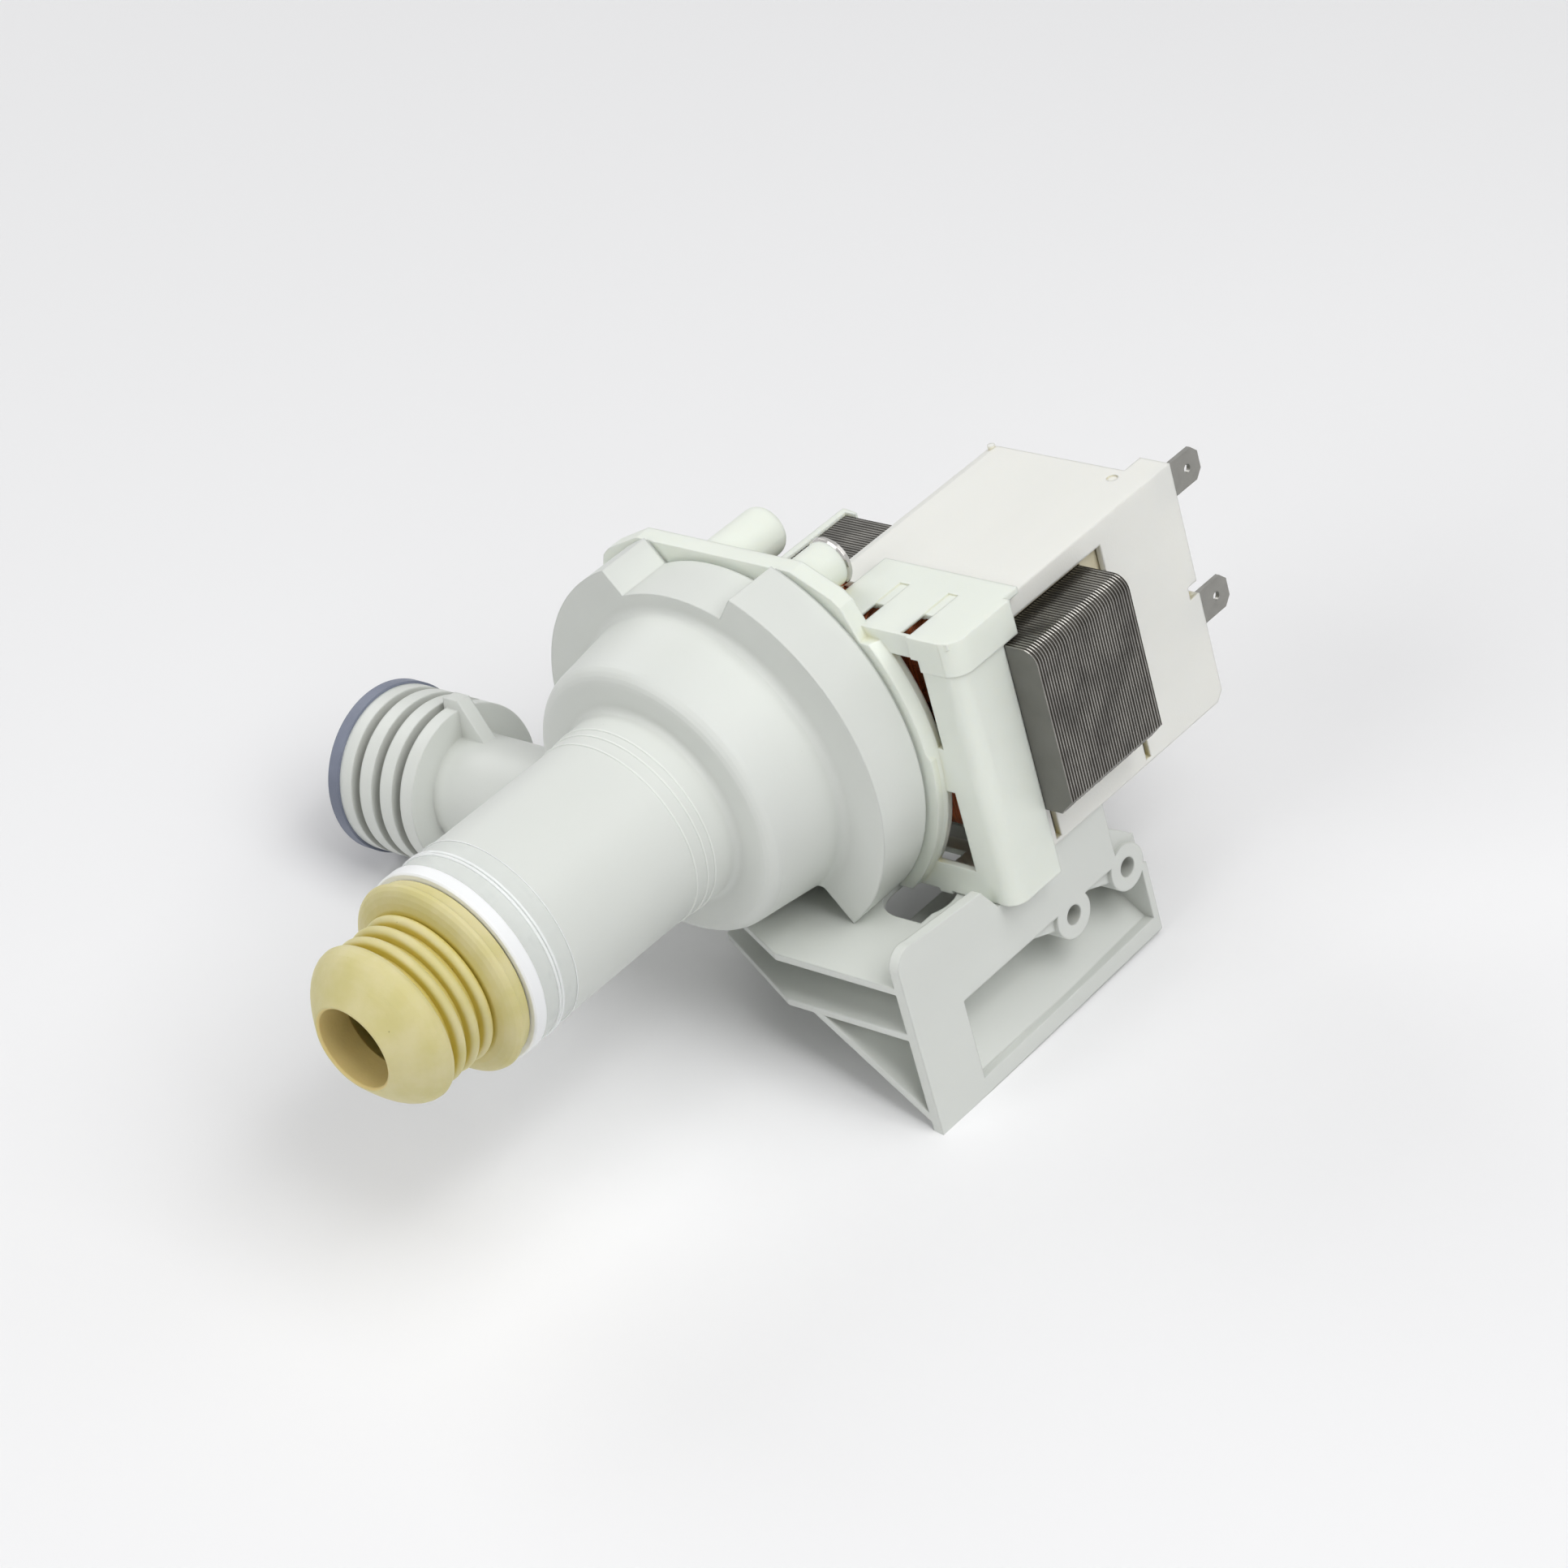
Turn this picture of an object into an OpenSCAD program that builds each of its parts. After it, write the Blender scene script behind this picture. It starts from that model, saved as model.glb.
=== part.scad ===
// Drain pump of a dishwasher: volute housing with inlet, spout and bracket, and a U-core motor.
// Millimetres. X points to the bracket plate, Y runs along the pump axis to the motor, Z is up.
// The origin is the centre of the inlet mouth, on the pump axis.

/* [Inlet bellows] */
// Length from the lip of the bellows to the mouth of the inlet tube
bellows_len = 23.3; // [22.5:0.1:30]
// Radius of the hole in the lip
mouth_r = 7.4; // [5:0.1:7.5]
// Radius at the front edge of the nose
lip_r = 8; // [7.9:0.1:9]
// Largest radius of the nose
nose_r = 14.5; // [13.8:0.1:15]
// Length of the nose, from the lip to its largest radius
nose_len = 7.4; // [7:0.1:8]
// Radius over the folds
fold_r = 13.8; // [13:0.1:15]
// Radius at the bottom of the grooves between the folds
fold_root_r = 11.9; // [11:0.1:12.5]
// Number of folds
fold_count = 3; // [2:1:3]
// Distance from fold to fold
fold_pitch = 3.1; // [2.6:0.1:3.2]
// Thickness of a fold
fold_t = 1.9; // [1.2:0.1:2.2]
// Height of the large disc above the inlet tube
disc_proud = 0.2; // [0.1:0.1:2]
// Thickness of the large disc at its rim
disc_t = 1.3; // [1:0.1:1.8]
// Wall of the rubber
rubber_t = 1.6; // [1:0.1:2]
// Length of the neck inside the inlet tube
neck_len = 8; // [4:0.5:20]

/* [Inlet tube] */
// Outer radius of the inlet tube
tube_r = 17.5; // [17.3:0.1:19]
// Wall of the inlet tube
tube_wall = 2; // [1.5:0.1:2.5]
// Length of the inlet tube, mouth to pump dome
tube_len = 48.5; // [40:0.5:60]
// Height of each of the three fine steps near the dome
tube_step = 0.15; // [0.1:0.05:0.4]
// Width of the white ring on the mouth
mouth_ring_len = 2.5; // [2:0.1:4]
// Height of the white ring above the tube
mouth_ring_t = 0.4; // [0.3:0.05:0.8]
// Width of the clear film wound round the tube
film_len = 7.7; // [4:0.1:12]
// Thickness of the film
film_t = 0.15; // [0.1:0.05:0.3]

/* [Pump dome] */
// Radius of the dome at its front
dome_front_r = 26; // [25:0.1:26.5]
// Radius of the dome where it meets the skirt
dome_rear_r = 27.6; // [27.2:0.1:29]
// Length of the dome in front of the skirt
dome_len = 15.5; // [14:0.1:18]
// Radius of the rounded front edge
dome_edge_r = 3; // [1:0.1:4]
// Wall of the dome
dome_wall = 2; // [1.6:0.1:2.2]

/* [Skirt] */
// Outer radius of the skirt
skirt_r = 36.3; // [35:0.1:38]
// Length of the skirt
skirt_len = 10.8; // [9:0.1:14]
// Wall of the skirt
skirt_wall = 1.8; // [1.2:0.1:2.2]
// Angle from straight down to each end of the skirt
skirt_gap_half = 38; // [34:1:42]
// Depth of the top notch
notch_depth = 5.2; // [3:0.1:5.6]
// Half width of the notch at its floor
notch_floor_half = 11.1; // [8:0.1:12]
// Half width of the notch at the rim
notch_rim_half = 14.4; // [13:0.1:16]

/* [Outlet spout] */
// Outer radius of the spout
spout_r = 10.05; // [9.6:0.05:10.6]
// Wall of the spout
spout_wall = 2.05; // [1.4:0.05:2.4]
// Depth of the spout axis below the pump axis
spout_drop = 17.1; // [16.8:0.1:17.5]
// Distance of the spout axis behind the front of the dome
spout_back = 10.4; // [10:0.1:10.6]
// Distance from the pump axis to the nearest sealing fin
fin_start = 59.5; // [50:0.5:70]
// Number of sealing fins
fin_count = 4; // [2:1:6]
// Distance from fin to fin
fin_pitch = 5.2; // [4.5:0.1:7]
// Thickness of a fin
fin_t = 3; // [1.5:0.1:3.5]
// Radius of the fins
fin_r = 15.1; // [13:0.1:18]
// Width of the rubber seal ring
seal_len = 3; // [2:0.1:5]
// Height of the seal ring above the fins
seal_proud = 0.45; // [0.2:0.05:1]
// Height of the key above the fins
key_proud = 1.7; // [1:0.1:3]
// Thickness of the key
key_t = 3; // [2:0.1:4]
// Angle of the key behind the top of the spout
key_angle = 12; // [0:1:30]
// Length of the slope in front of the key
key_slope_len = 6; // [3:0.5:12]

/* [Bracket] */
// Distance from the pump axis to the outer face of the side plate
plate_x = 43.25; // [43:0.05:43.5]
// Thickness of the side plate
plate_t = 2; // [1.6:0.1:2.2]
// Distance of the front edge of the plate in front of the skirt
plate_lead = 11.9; // [9:0.1:13]
// Length of the plate along the pump axis
plate_len = 60.9; // [58:0.1:64]
// Height of the front end of the plate's top edge below the pump axis
plate_top_front = 21.9; // [21.5:0.1:22.5]
// Height of the rear end of the plate's top edge below the pump axis
plate_top_rear = 26.6; // [26.5:0.1:28]
// Depth of the front bottom corner below the pump axis
plate_foot_front = 58.5; // [57.5:0.1:60]
// Depth of the rear bottom corner below the pump axis
plate_foot_rear = 57; // [56.5:0.1:58.5]
// Depth of the upper face of the upper shelf below the pump axis
shelf_drop = 28.7; // [28.6:0.1:29]
// Thickness of both shelves
shelf_t = 1.4; // [1:0.1:1.6]
// Distance between the upper faces of the two shelves
shelf_pitch = 9.3; // [8:0.1:9.5]
// Height of the lower bar of the window
sill_h = 3; // [2:0.1:3.5]
// Width of the front bar of the window
window_front_bar = 12.2; // [10:0.1:14]
// Width of the rear bar of the window
window_rear_bar = 1.4; // [1.2:0.1:3]
// Radius of the screw bosses
boss_r = 4.27; // [3.8:0.01:4.6]
// Radius of the screw holes
screw_r = 1.8; // [1.2:0.05:2.2]
// Distance between the two screws
screw_pitch = 14.92; // [14:0.01:16]
// Depth of the screw axes below the pump axis
screw_drop = 41.17; // [40.8:0.01:42]
// Length of the screw bosses
boss_len = 9.5; // [5:0.1:10]
// Thickness of the sloping gusset
gusset_t = 1.5; // [1:0.1:2]

/* [Motor mount] */
// Height of the flange disc above the skirt
flange_lip = 2; // [1.2:0.1:2.6]
// Thickness of the flange disc
flange_t = 3.4; // [2.6:0.1:4]
// Height of the flat top of the flange
flange_top = 32.4; // [32:0.1:34]
// Depth of the flat bottom of the flange
flange_foot = 28.3; // [27.6:0.1:28.4]
// Thickness of the gasket between skirt and flange
gasket_t = 0.7; // [0.4:0.1:1]
// Wall of the frame and the top plate
frame_wall = 1.2; // [1:0.1:1.6]
// Distance from the pump axis to the left edge of the frame
frame_x = 18.3; // [17:0.1:19]
// Length of the top plate
top_plate_len = 18.4; // [15:0.1:20]
// Width of the two slots in the top plate
slot_w = 2.1; // [1:0.1:2.5]
// Length of the two slots
slot_len = 6.2; // [3:0.1:7]
// Radius of the left post
left_post_r = 4.6; // [4:0.1:5]
// Length of the left post
left_post_len = 13.4; // [8:0.1:16]
// Radius of the right post
right_post_r = 4.2; // [3.6:0.1:4.6]
// Length of the right post with its metal ring
right_post_len = 8.3; // [6:0.1:12]
// Distance of the left post to the left of the pump axis
left_post_x = 3.2; // [2.5:0.1:4]
// Distance of the right post to the right of the pump axis
right_post_x = 15.3; // [14.5:0.1:16]
// Height of the two posts above the pump axis
post_z = 27.4; // [27:0.1:27.8]
// Outer radius of the rotor can
can_r = 10.8; // [10.7:0.05:10.9]
// Wall of the rotor can
can_wall = 0.8; // [0.6:0.05:0.9]

/* [Core and coils] */
// Number of sheets in the core
sheet_count = 38; // [34:1:40]
// Thickness of one sheet
sheet_t = 0.65; // [0.62:0.01:0.68]
// Distance from the flange disc to the core
core_gap = 10.4; // [10:0.1:12]
// Length of the core beyond the pump axis on the pole side
pole_len = 8.3; // [8:0.1:9]
// Distance from the pump axis to the outer face of the yoke
yoke_x = 53.8; // [53:0.1:56]
// Width of the yoke
yoke_w = 10; // [9.5:0.1:10.2]
// Thickness of the two legs
leg_t = 8; // [7.5:0.1:8.5]
// Gap between the two legs
leg_gap = 16.2; // [16:0.1:17]
// Clearance between rotor can and poles
pole_clear = 0.2; // [0.1:0.05:0.4]
// Thickness of the bobbin walls
bobbin_wall = 1; // [0.8:0.1:1.1]
// Height of the winding above the bobbin, on the legs' broad faces
winding_t = 3; // [2:0.1:3.2]
// Height of the winding in front of and behind the legs
winding_side = 5.2; // [4:0.1:5.6]
// Distance from the pump axis to the left end of the bobbins
bobbin_x = 12; // [11.6:0.1:13]

/* [Coil cover] */
// Wall of the cover
cover_wall = 1.2; // [0.8:0.1:1.4]
// Distance from the pump axis to the left face of the cover
cover_x = 8.8; // [8.6:0.1:9.2]
// Distance from the pump axis to the right face of the cover
cover_right_x = 45.2; // [45.1:0.1:45.4]
// Length of the cover behind the front of the core
cover_len = 45; // [43:0.1:50]
// Room under the lower coil for its wires
wire_room = 3.8; // [3.4:0.1:3.9]
// Width of the terminal block
block_w = 6.3; // [5:0.1:8]
// Length of the terminal block behind the cover
block_len = 4.4; // [3:0.1:8]
// Depth of the gap round the yoke behind the core
yoke_gap = 4.2; // [1:0.1:6]

/* [Terminals] */
// Width of the terminal blades
blade_w = 6.3; // [4.8:0.1:6.4]
// Thickness of the terminal blades
blade_t = 0.8; // [0.5:0.1:0.9]
// Length of the blades outside the block
blade_len = 7.6; // [6:0.1:9]
// Height of the upper edge of the upper blade
blade_top = 21.1; // [20.5:0.1:21.1]
// Distance between the two blades
blade_pitch = 25.2; // [24:0.1:27]
// Radius of the hole in the blades
blade_hole_r = 0.8; // [0.5:0.05:1.2]

/* [Rotor and impeller] */
// Radius of the magnet
magnet_r = 9; // [8.5:0.05:9.5]
// Radius of the hole in the magnet
magnet_bore_r = 4.5; // [4:0.1:5]
// Radius of the shaft
shaft_r = 1.5; // [1:0.05:1.8]
// Running clearance on the shaft
shaft_clear = 0.05; // [0.02:0.01:0.1]
// Outer radius of the two bearing bushes
bush_r = 4; // [3.5:0.1:4.2]
// Length of the front bush
front_bush_len = 8; // [6:0.1:9]
// Length of the rear bush
rear_bush_len = 3; // [2:0.1:4]
// Outer radius of the rubber seat of the front bush
seat_r = 7.4; // [7:0.1:7.6]
// Radius of the impeller
impeller_r = 20; // [16:0.5:23]
// Height of the vanes
vane_h = 10.5; // [7:0.1:11.5]
// Thickness of the vanes
vane_t = 2; // [1.4:0.1:3]
// Number of vanes
vane_count = 4; // [3:1:6]
// Radius of the impeller hub
hub_r = 8; // [7.6:0.1:9]
// Free turn of the impeller on the shaft, each way
free_turn = 85; // [60:1:95]
// Width of the driving dog
dog_angle = 60; // [40:1:70]

/* [Hidden] */
$fn = 96;

// Overshoot of a cut beyond the face that it opens
cut = 1;
// Gap between pieces of one body that lie beside each other
fit_gap = 0.2;
// Steps of a rounded profile
arc_steps = 6;

// Places along the pump axis, from the inlet to the motor
tube_y = bellows_len;
dome_y = tube_y + tube_len;
skirt_y = dome_y + dome_len;
skirt_end = skirt_y + skirt_len;
flange_y = skirt_end + gasket_t;
flange_end = flange_y + flange_t;
core_y = flange_end + core_gap;
stack_len = sheet_count * sheet_t;
core_end = core_y + stack_len;
frame_y = flange_end - 1.4;
frame_end = core_y - fit_gap / 2;
cover_y = core_y + 0.7;
cover_end = core_y + cover_len;
block_end = cover_end + block_len;

// Inlet tube and dome
tube_bore_r = tube_r - tube_wall;
chamber_r = dome_rear_r - dome_wall;
chamber_y = dome_y + dome_wall;
neck_r = tube_bore_r - fit_gap;
disc_r = tube_r + disc_proud;
mouth_ring_lip = 0.3;
mouth_ring_y = tube_y - mouth_ring_lip;
film_y = mouth_ring_y + mouth_ring_len + 0.1;
step_places = [dome_y - 9.6, dome_y - 7.1, dome_y - 5.4];

// Skirt and flange
notch_floor_r = skirt_r - notch_depth;
flange_r = skirt_r + flange_lip;
window_r = flange_r + 0.4;

// Spout
spout_y = dome_y + spout_back;
spout_bore_r = spout_r - spout_wall;
fins_end = fin_start + (fin_count - 1) * fin_pitch + fin_t;
spout_end = fins_end + seal_len;
key_r = fin_r + key_proud;

// Bracket
plate_in = plate_x - plate_t;
plate_y = skirt_y - plate_lead;
plate_end = plate_y + plate_len;
lower_shelf_drop = shelf_drop + shelf_pitch;
window_top = lower_shelf_drop + shelf_t - 0.3;
screw_far_y = plate_end - boss_r - 0.35;
screw_near_y = screw_far_y - screw_pitch;

// Posts
post_end = flange_end + right_post_len;
post_ring_len = 1.2;
post_ring_t = 0.7;

// Coils, core and cover
core_half_h = leg_gap / 2 + leg_t;
pole_bore_r = can_r + pole_clear;
yoke_in = yoke_x - yoke_w;
bobbin_end = yoke_in - fit_gap;
coil_half_h = core_half_h + bobbin_wall + winding_t;
cover_top = coil_half_h + fit_gap + cover_wall;
cover_foot = -(coil_half_h + wire_room + cover_wall);
top_plate_z = cover_top + 0.5;
frame_top = top_plate_z + frame_wall;
frame_foot = -flange_foot;
frame_right = cover_right_x + 2.2;
frame_right_in = frame_right - frame_wall;
block_right = cover_right_x;
blade_x = block_right - 0.4 - blade_t;

// Rotor, bearings and impeller
can_bore_r = can_r - can_wall;
can_end = core_end + 3.7;
tail_r = bush_r + fit_gap / 2 + can_wall;
tail_end = can_end + rear_bush_len + can_wall + 0.9;
carrier_collar = 2.5;
carrier_y = core_y - carrier_collar;
washer_t = 0.8;
washer_end = carrier_y - shaft_clear;
washer_y = washer_end - washer_t;
front_bush_end = washer_y - shaft_clear;
front_bush_y = front_bush_end - front_bush_len;
cup_wall_t = 1;
cup_end = front_bush_end - 0.4;
cup_r = can_bore_r - 0.3;
rear_bush_end = tail_end - can_wall;
rear_bush_y = rear_bush_end - rear_bush_len;
shaft_end = rear_bush_end - 0.3;
spigot_r = chamber_r - 0.3;
spigot_wall = 4.3;
spigot_y = flange_y - 3;
o_ring_r = 0.8;
o_ring_y = spigot_y + 1.8;
plate_disc_t = 2.4;
bearing_y = spigot_y - 0.1 - plate_disc_t;
cap_t = 0.8;
cap_end = bearing_y - 0.2;
cap_y = cap_end - cap_t;
vane_y = chamber_y + 3;
dog_y = vane_y + 7.5;
dog_end = cap_y - 0.2;
dog_r = 5.7;
hub_bore_r = 6;
shaft_y = vane_y + 1;
turn_room = 1.5;
stop_angle = 360 - dog_angle - 2 * free_turn - 2 * turn_room;

// Points of a quarter round edge, from angle a to angle b about the centre
function arc(centre, r, a, b) = [
    for (i = [0 : arc_steps])
        centre + r * [cos(a + (b - a) * i / arc_steps), sin(a + (b - a) * i / arc_steps)]
];

// A profile of [radius, y] points turned about the pump axis
module turned(points) {
    rotate([-90, 0, 0])
        rotate_extrude()
            polygon(points);
}

// A drawing in X and Z, carried along Y
module along_y(from, to) {
    translate([0, to, 0])
        rotate([90, 0, 0])
            linear_extrude(to - from)
                children();
}

// A drawing in Y and Z, carried along X
module along_x(from, to) {
    translate([from, 0, 0])
        rotate([90, 0, 90])
            linear_extrude(to - from)
                children();
}

// A drawing in X and Y, carried along Z
module along_z(from, to) {
    translate([0, 0, from])
        linear_extrude(to - from)
            children();
}

module rod_y(r, from, to) {
    translate([0, from, 0])
        rotate([-90, 0, 0])
            cylinder(h = to - from, r = r);
}

module rod_x(r, from, to) {
    translate([from, 0, 0])
        rotate([0, 90, 0])
            cylinder(h = to - from, r = r);
}

module pipe_y(r, bore_r, from, to) {
    difference() {
        rod_y(r, from, to);
        rod_y(bore_r, from - cut, to + cut);
    }
}

module box(low, high) {
    translate(low)
        cube(high - low);
}

// A rectangle with round corners, drawn from its low and high corners
module round_rect(low, high, r) {
    translate(low + [r, 0])
        square([high[0] - low[0] - 2 * r, high[1] - low[1]]);
    translate(low + [0, r])
        square([high[0] - low[0], high[1] - low[1] - 2 * r]);
    for (x = [low[0] + r, high[0] - r], y = [low[1] + r, high[1] - r])
        translate([x, y])
            circle(r = r);
}

// A sector of a disc, centred on the angle
module sector(r, middle, width) {
    far = 2 * r;
    intersection() {
        circle(r = r);
        polygon(concat([[0, 0]], [for (i = [0 : 4])
            far * [cos(middle + width * (i / 4 - 0.5)), sin(middle + width * (i / 4 - 0.5))]]));
    }
}

// Outer shape of the nose: a quarter wave from the lip to the full radius
function nose_out(y) = lip_r + (nose_r - lip_r) * sin(90 * y / nose_len);

// Front of the large disc: a quarter ellipse from its foot (share 0) to its rim (share 1)
function dish(share, foot_r, foot_y, rim_y) = [
    foot_r + (disc_r - foot_r) * sin(90 * share), rim_y - (rim_y - foot_y) * cos(90 * share)
];

// A straight mouth leads through the thick nose into the wider throat behind the folds. The large disc
// is dished: its front bends from the last groove to the rim, and a collar runs from it to the ring.
module inlet_bellows() {
    nose_steps = 8;
    throat_r = fold_root_r - rubber_t;
    nose_end = nose_len + 1.5;
    rim_y = bellows_len - 2.9;
    disc_y = rim_y - disc_t - 0.8;
    disc_foot_r = fold_root_r + 0.7;
    first_fold_y = disc_y - 1.2 - (fold_count - 1) * fold_pitch;
    neck_end = tube_y + neck_len;
    neck_in_r = neck_r - rubber_t;
    shoulder_y = mouth_ring_y - 0.2;
    outer = concat(
        [[mouth_r, 0.3], [mouth_r + 0.3, 0]],
        [for (i = [0 : nose_steps]) [nose_out(nose_len * i / nose_steps), nose_len * i / nose_steps]],
        [
            [nose_r - 0.2, nose_len + 0.6], [nose_r - 0.9, nose_len + 1.1], [fold_root_r, nose_end],
            [fold_root_r, disc_y]
        ],
        [for (i = [1 : arc_steps]) dish(i / arc_steps, disc_foot_r, disc_y, rim_y)],
        [
            [disc_r - 0.2, rim_y + 0.3], [disc_r - 0.6, rim_y + 0.5], [disc_r - 0.8, shoulder_y - 0.2],
            [disc_r - 1, shoulder_y], [neck_r, shoulder_y], [neck_r, neck_end]
        ]
    );
    inner = [
        [neck_in_r, neck_end], [neck_in_r, rim_y - 0.6], [throat_r, disc_y],
        [throat_r, nose_end + 1], [mouth_r, nose_len - 1]
    ];
    color("khaki")
        rotate([-90, 0, 0])
            rotate_extrude() {
                polygon(concat(outer, inner));
                for (i = [0 : fold_count - 1])
                    bellows_fold(first_fold_y + i * fold_pitch);
            }
}

// One fold of the bellows in section: a thin web with a round edge
module bellows_fold(y) {
    translate([fold_root_r - rubber_t / 2, y - fold_t / 2])
        square([fold_r - fold_t / 2 - fold_root_r + rubber_t / 2, fold_t]);
    translate([fold_r - fold_t / 2, y])
        circle(r = fold_t / 2, $fn = 24);
}

module mouth_ring() {
    ring_r = tube_r + mouth_ring_t;
    ring_in_r = neck_r + 1.1;
    ring_end = mouth_ring_y + mouth_ring_len;
    edge = 0.3;
    color("white")
        turned([
            [ring_in_r, mouth_ring_y], [ring_r - edge, mouth_ring_y], [ring_r, mouth_ring_y + edge],
            [ring_r, ring_end], [tube_r, ring_end], [tube_r, tube_y], [ring_in_r, tube_y]
        ]);
}

module film_band() {
    color("aliceblue")
        pipe_y(tube_r + film_t, tube_r, film_y, film_y + film_len);
}

// Outer form of the dome, solid, from its front face to the end of the skirt
module dome_solid() {
    turned(concat(
        [[0, dome_y]],
        arc([dome_front_r - dome_edge_r, dome_y + dome_edge_r], dome_edge_r, -90, 0),
        [[dome_rear_r, skirt_y], [dome_rear_r, skirt_end], [0, skirt_end]]
    ));
}

// Outer form of the inlet tube with three fine steps where it nears the dome and a rounded foot
module inlet_tube_solid() {
    ramp = 0.4;
    foot_r = tube_r + 3 * tube_step;
    foot_round = 1.2;
    turned(concat(
        [[0, tube_y], [tube_r - 0.3, tube_y], [tube_r, tube_y + 0.3]],
        [for (i = [0 : 2], end = [0, 1]) [tube_r + tube_step * (i + end), step_places[i] + ramp * end]],
        arc([foot_r + foot_round, dome_y - foot_round], foot_round, 180, 90),
        [[foot_r + foot_round, dome_y + cut], [0, dome_y + cut]]
    ));
}

// The round corner where the dome meets the front of the skirt
module skirt_fillet() {
    round_r = 1.6;
    slope = (dome_rear_r - dome_front_r) / (dome_len - dome_edge_r);
    start_r = dome_rear_r - slope * round_r;
    intersection() {
        turned(concat(
            [[start_r - cut, skirt_y - round_r]],
            arc([start_r + round_r, skirt_y - round_r], round_r, 180, 90),
            [[start_r + round_r, skirt_y + cut], [start_r - cut, skirt_y + cut]]
        ));
        along_y(skirt_y - round_r, skirt_y + skirt_wall)
            skirt_outline();
    }
}

// The skirt seen from the front: a round with a notch on top and a gap at the bottom
module skirt_outline(inset = 0) {
    apex = inset / sin(skirt_gap_half);
    far = 2 * skirt_r;
    floor_z = sqrt(pow(notch_floor_r, 2) - pow(notch_floor_half, 2));
    rim_z = sqrt(pow(skirt_r, 2) - pow(notch_rim_half, 2));
    flare = (notch_rim_half - notch_floor_half) / (rim_z - floor_z);
    side = inset / cos(atan(flare));
    deep = 2;
    high = skirt_r + cut - floor_z;
    difference() {
        union() {
            difference() {
                circle(r = skirt_r - inset);
                polygon([
                    for (end = [-1, 1]) [end * (notch_floor_half + side - deep * flare), floor_z - deep],
                    for (end = [1, -1]) [end * (notch_floor_half + side + high * flare), floor_z + high]
                ]);
            }
            circle(r = notch_floor_r - inset);
        }
        polygon([
            [0, apex], [far * sin(skirt_gap_half), apex - far * cos(skirt_gap_half)],
            [-far * sin(skirt_gap_half), apex - far * cos(skirt_gap_half)]
        ]);
    }
}

module skirt_solid() {
    along_y(skirt_y, skirt_end)
        skirt_outline();
}

// The outer round of the spout, from the pump chamber to its end
module spout_rod(r, from, to) {
    translate([0, spout_y, -spout_drop])
        rod_x(r, -to, -from);
}

module pump_housing() {
    color("gainsboro")
        difference() {
            union() {
                inlet_tube_solid();
                dome_solid();
                skirt_fillet();
                along_y(skirt_y, skirt_y + skirt_wall)
                    skirt_outline();
                along_y(skirt_y, skirt_end)
                    difference() {
                        skirt_outline();
                        skirt_outline(skirt_wall);
                    }
                intersection() {
                    skirt_solid();
                    spout_rod(spout_r, 10, skirt_r);
                }
            }
            rod_y(tube_bore_r, tube_y - cut, chamber_y + cut);
            rod_y(chamber_r, chamber_y, skirt_end + cut);
            spout_rod(spout_bore_r, 0, skirt_r + cut);
        }
}

// The tapered key that turns the spout the right way round in its socket
module spout_key() {
    key_far_x = -fin_start - fin_t - 0.6;
    foot_r = spout_r - 0.6;
    translate([0, spout_y, -spout_drop])
        rotate([-key_angle, 0, 0])
            along_y(-key_t / 2, key_t / 2)
                polygon([
                    [key_slope_len - fin_start, foot_r], [-fin_start, key_r], [key_far_x, key_r],
                    [key_far_x, foot_r]
                ]);
}

module outlet_spout() {
    color("gainsboro")
        difference() {
            union() {
                spout_rod(spout_r, 10, spout_end - 0.8);
                for (i = [0 : fin_count - 1])
                    spout_rod(fin_r, fin_start + i * fin_pitch, fin_start + i * fin_pitch + fin_t);
                spout_key();
            }
            dome_solid();
            skirt_solid();
            spout_rod(spout_bore_r, 0, spout_end + cut);
        }
}

module outlet_seal() {
    seal_r = fin_r + seal_proud;
    color("lightslategray")
        difference() {
            union() {
                spout_rod(seal_r, fins_end, spout_end - 0.5);
                spout_rod(seal_r - 0.5, fins_end, spout_end);
            }
            spout_rod(spout_r, 0, spout_end - 0.8);
            spout_rod(spout_bore_r, 0, spout_end + cut);
        }
}

// The side plate in Y and Z, without its window
module plate_outline() {
    corner_r = 3.5;
    plate_top_end = plate_end - 6.8;
    nose_z = -screw_drop - boss_r;
    slope = (plate_top_rear - plate_top_front) / (plate_top_end - plate_y);
    translate([plate_y + corner_r, -plate_top_front - corner_r - 0.2])
        circle(r = corner_r);
    polygon([
        [plate_y, -plate_foot_front], [plate_y, -plate_top_front - corner_r],
        [plate_y + corner_r, -plate_top_front - corner_r * slope],
        [plate_top_end, -plate_top_rear], [plate_top_end, nose_z],
        [plate_end, nose_z], [plate_end, -plate_foot_rear]
    ]);
    translate([screw_far_y, -screw_drop])
        circle(r = boss_r);
    polygon([
        [screw_far_y, -screw_drop], [plate_end, -screw_drop - 1.9], [plate_end, nose_z - 1],
        [screw_far_y, nose_z - 1]
    ]);
}

module window_outline() {
    foot = plate_foot_rear - sill_h;
    foot_front = plate_foot_front - sill_h - 0.5;
    polygon([
        [plate_y + window_front_bar, -window_top], [plate_y + window_front_bar, -foot_front],
        [plate_end - window_rear_bar, -foot], [plate_end - window_rear_bar, -window_top]
    ]);
}

// Both screw bosses in Y and Z
module screw_places() {
    for (y = [screw_near_y, screw_far_y])
        translate([y, -screw_drop])
            children();
}

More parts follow.
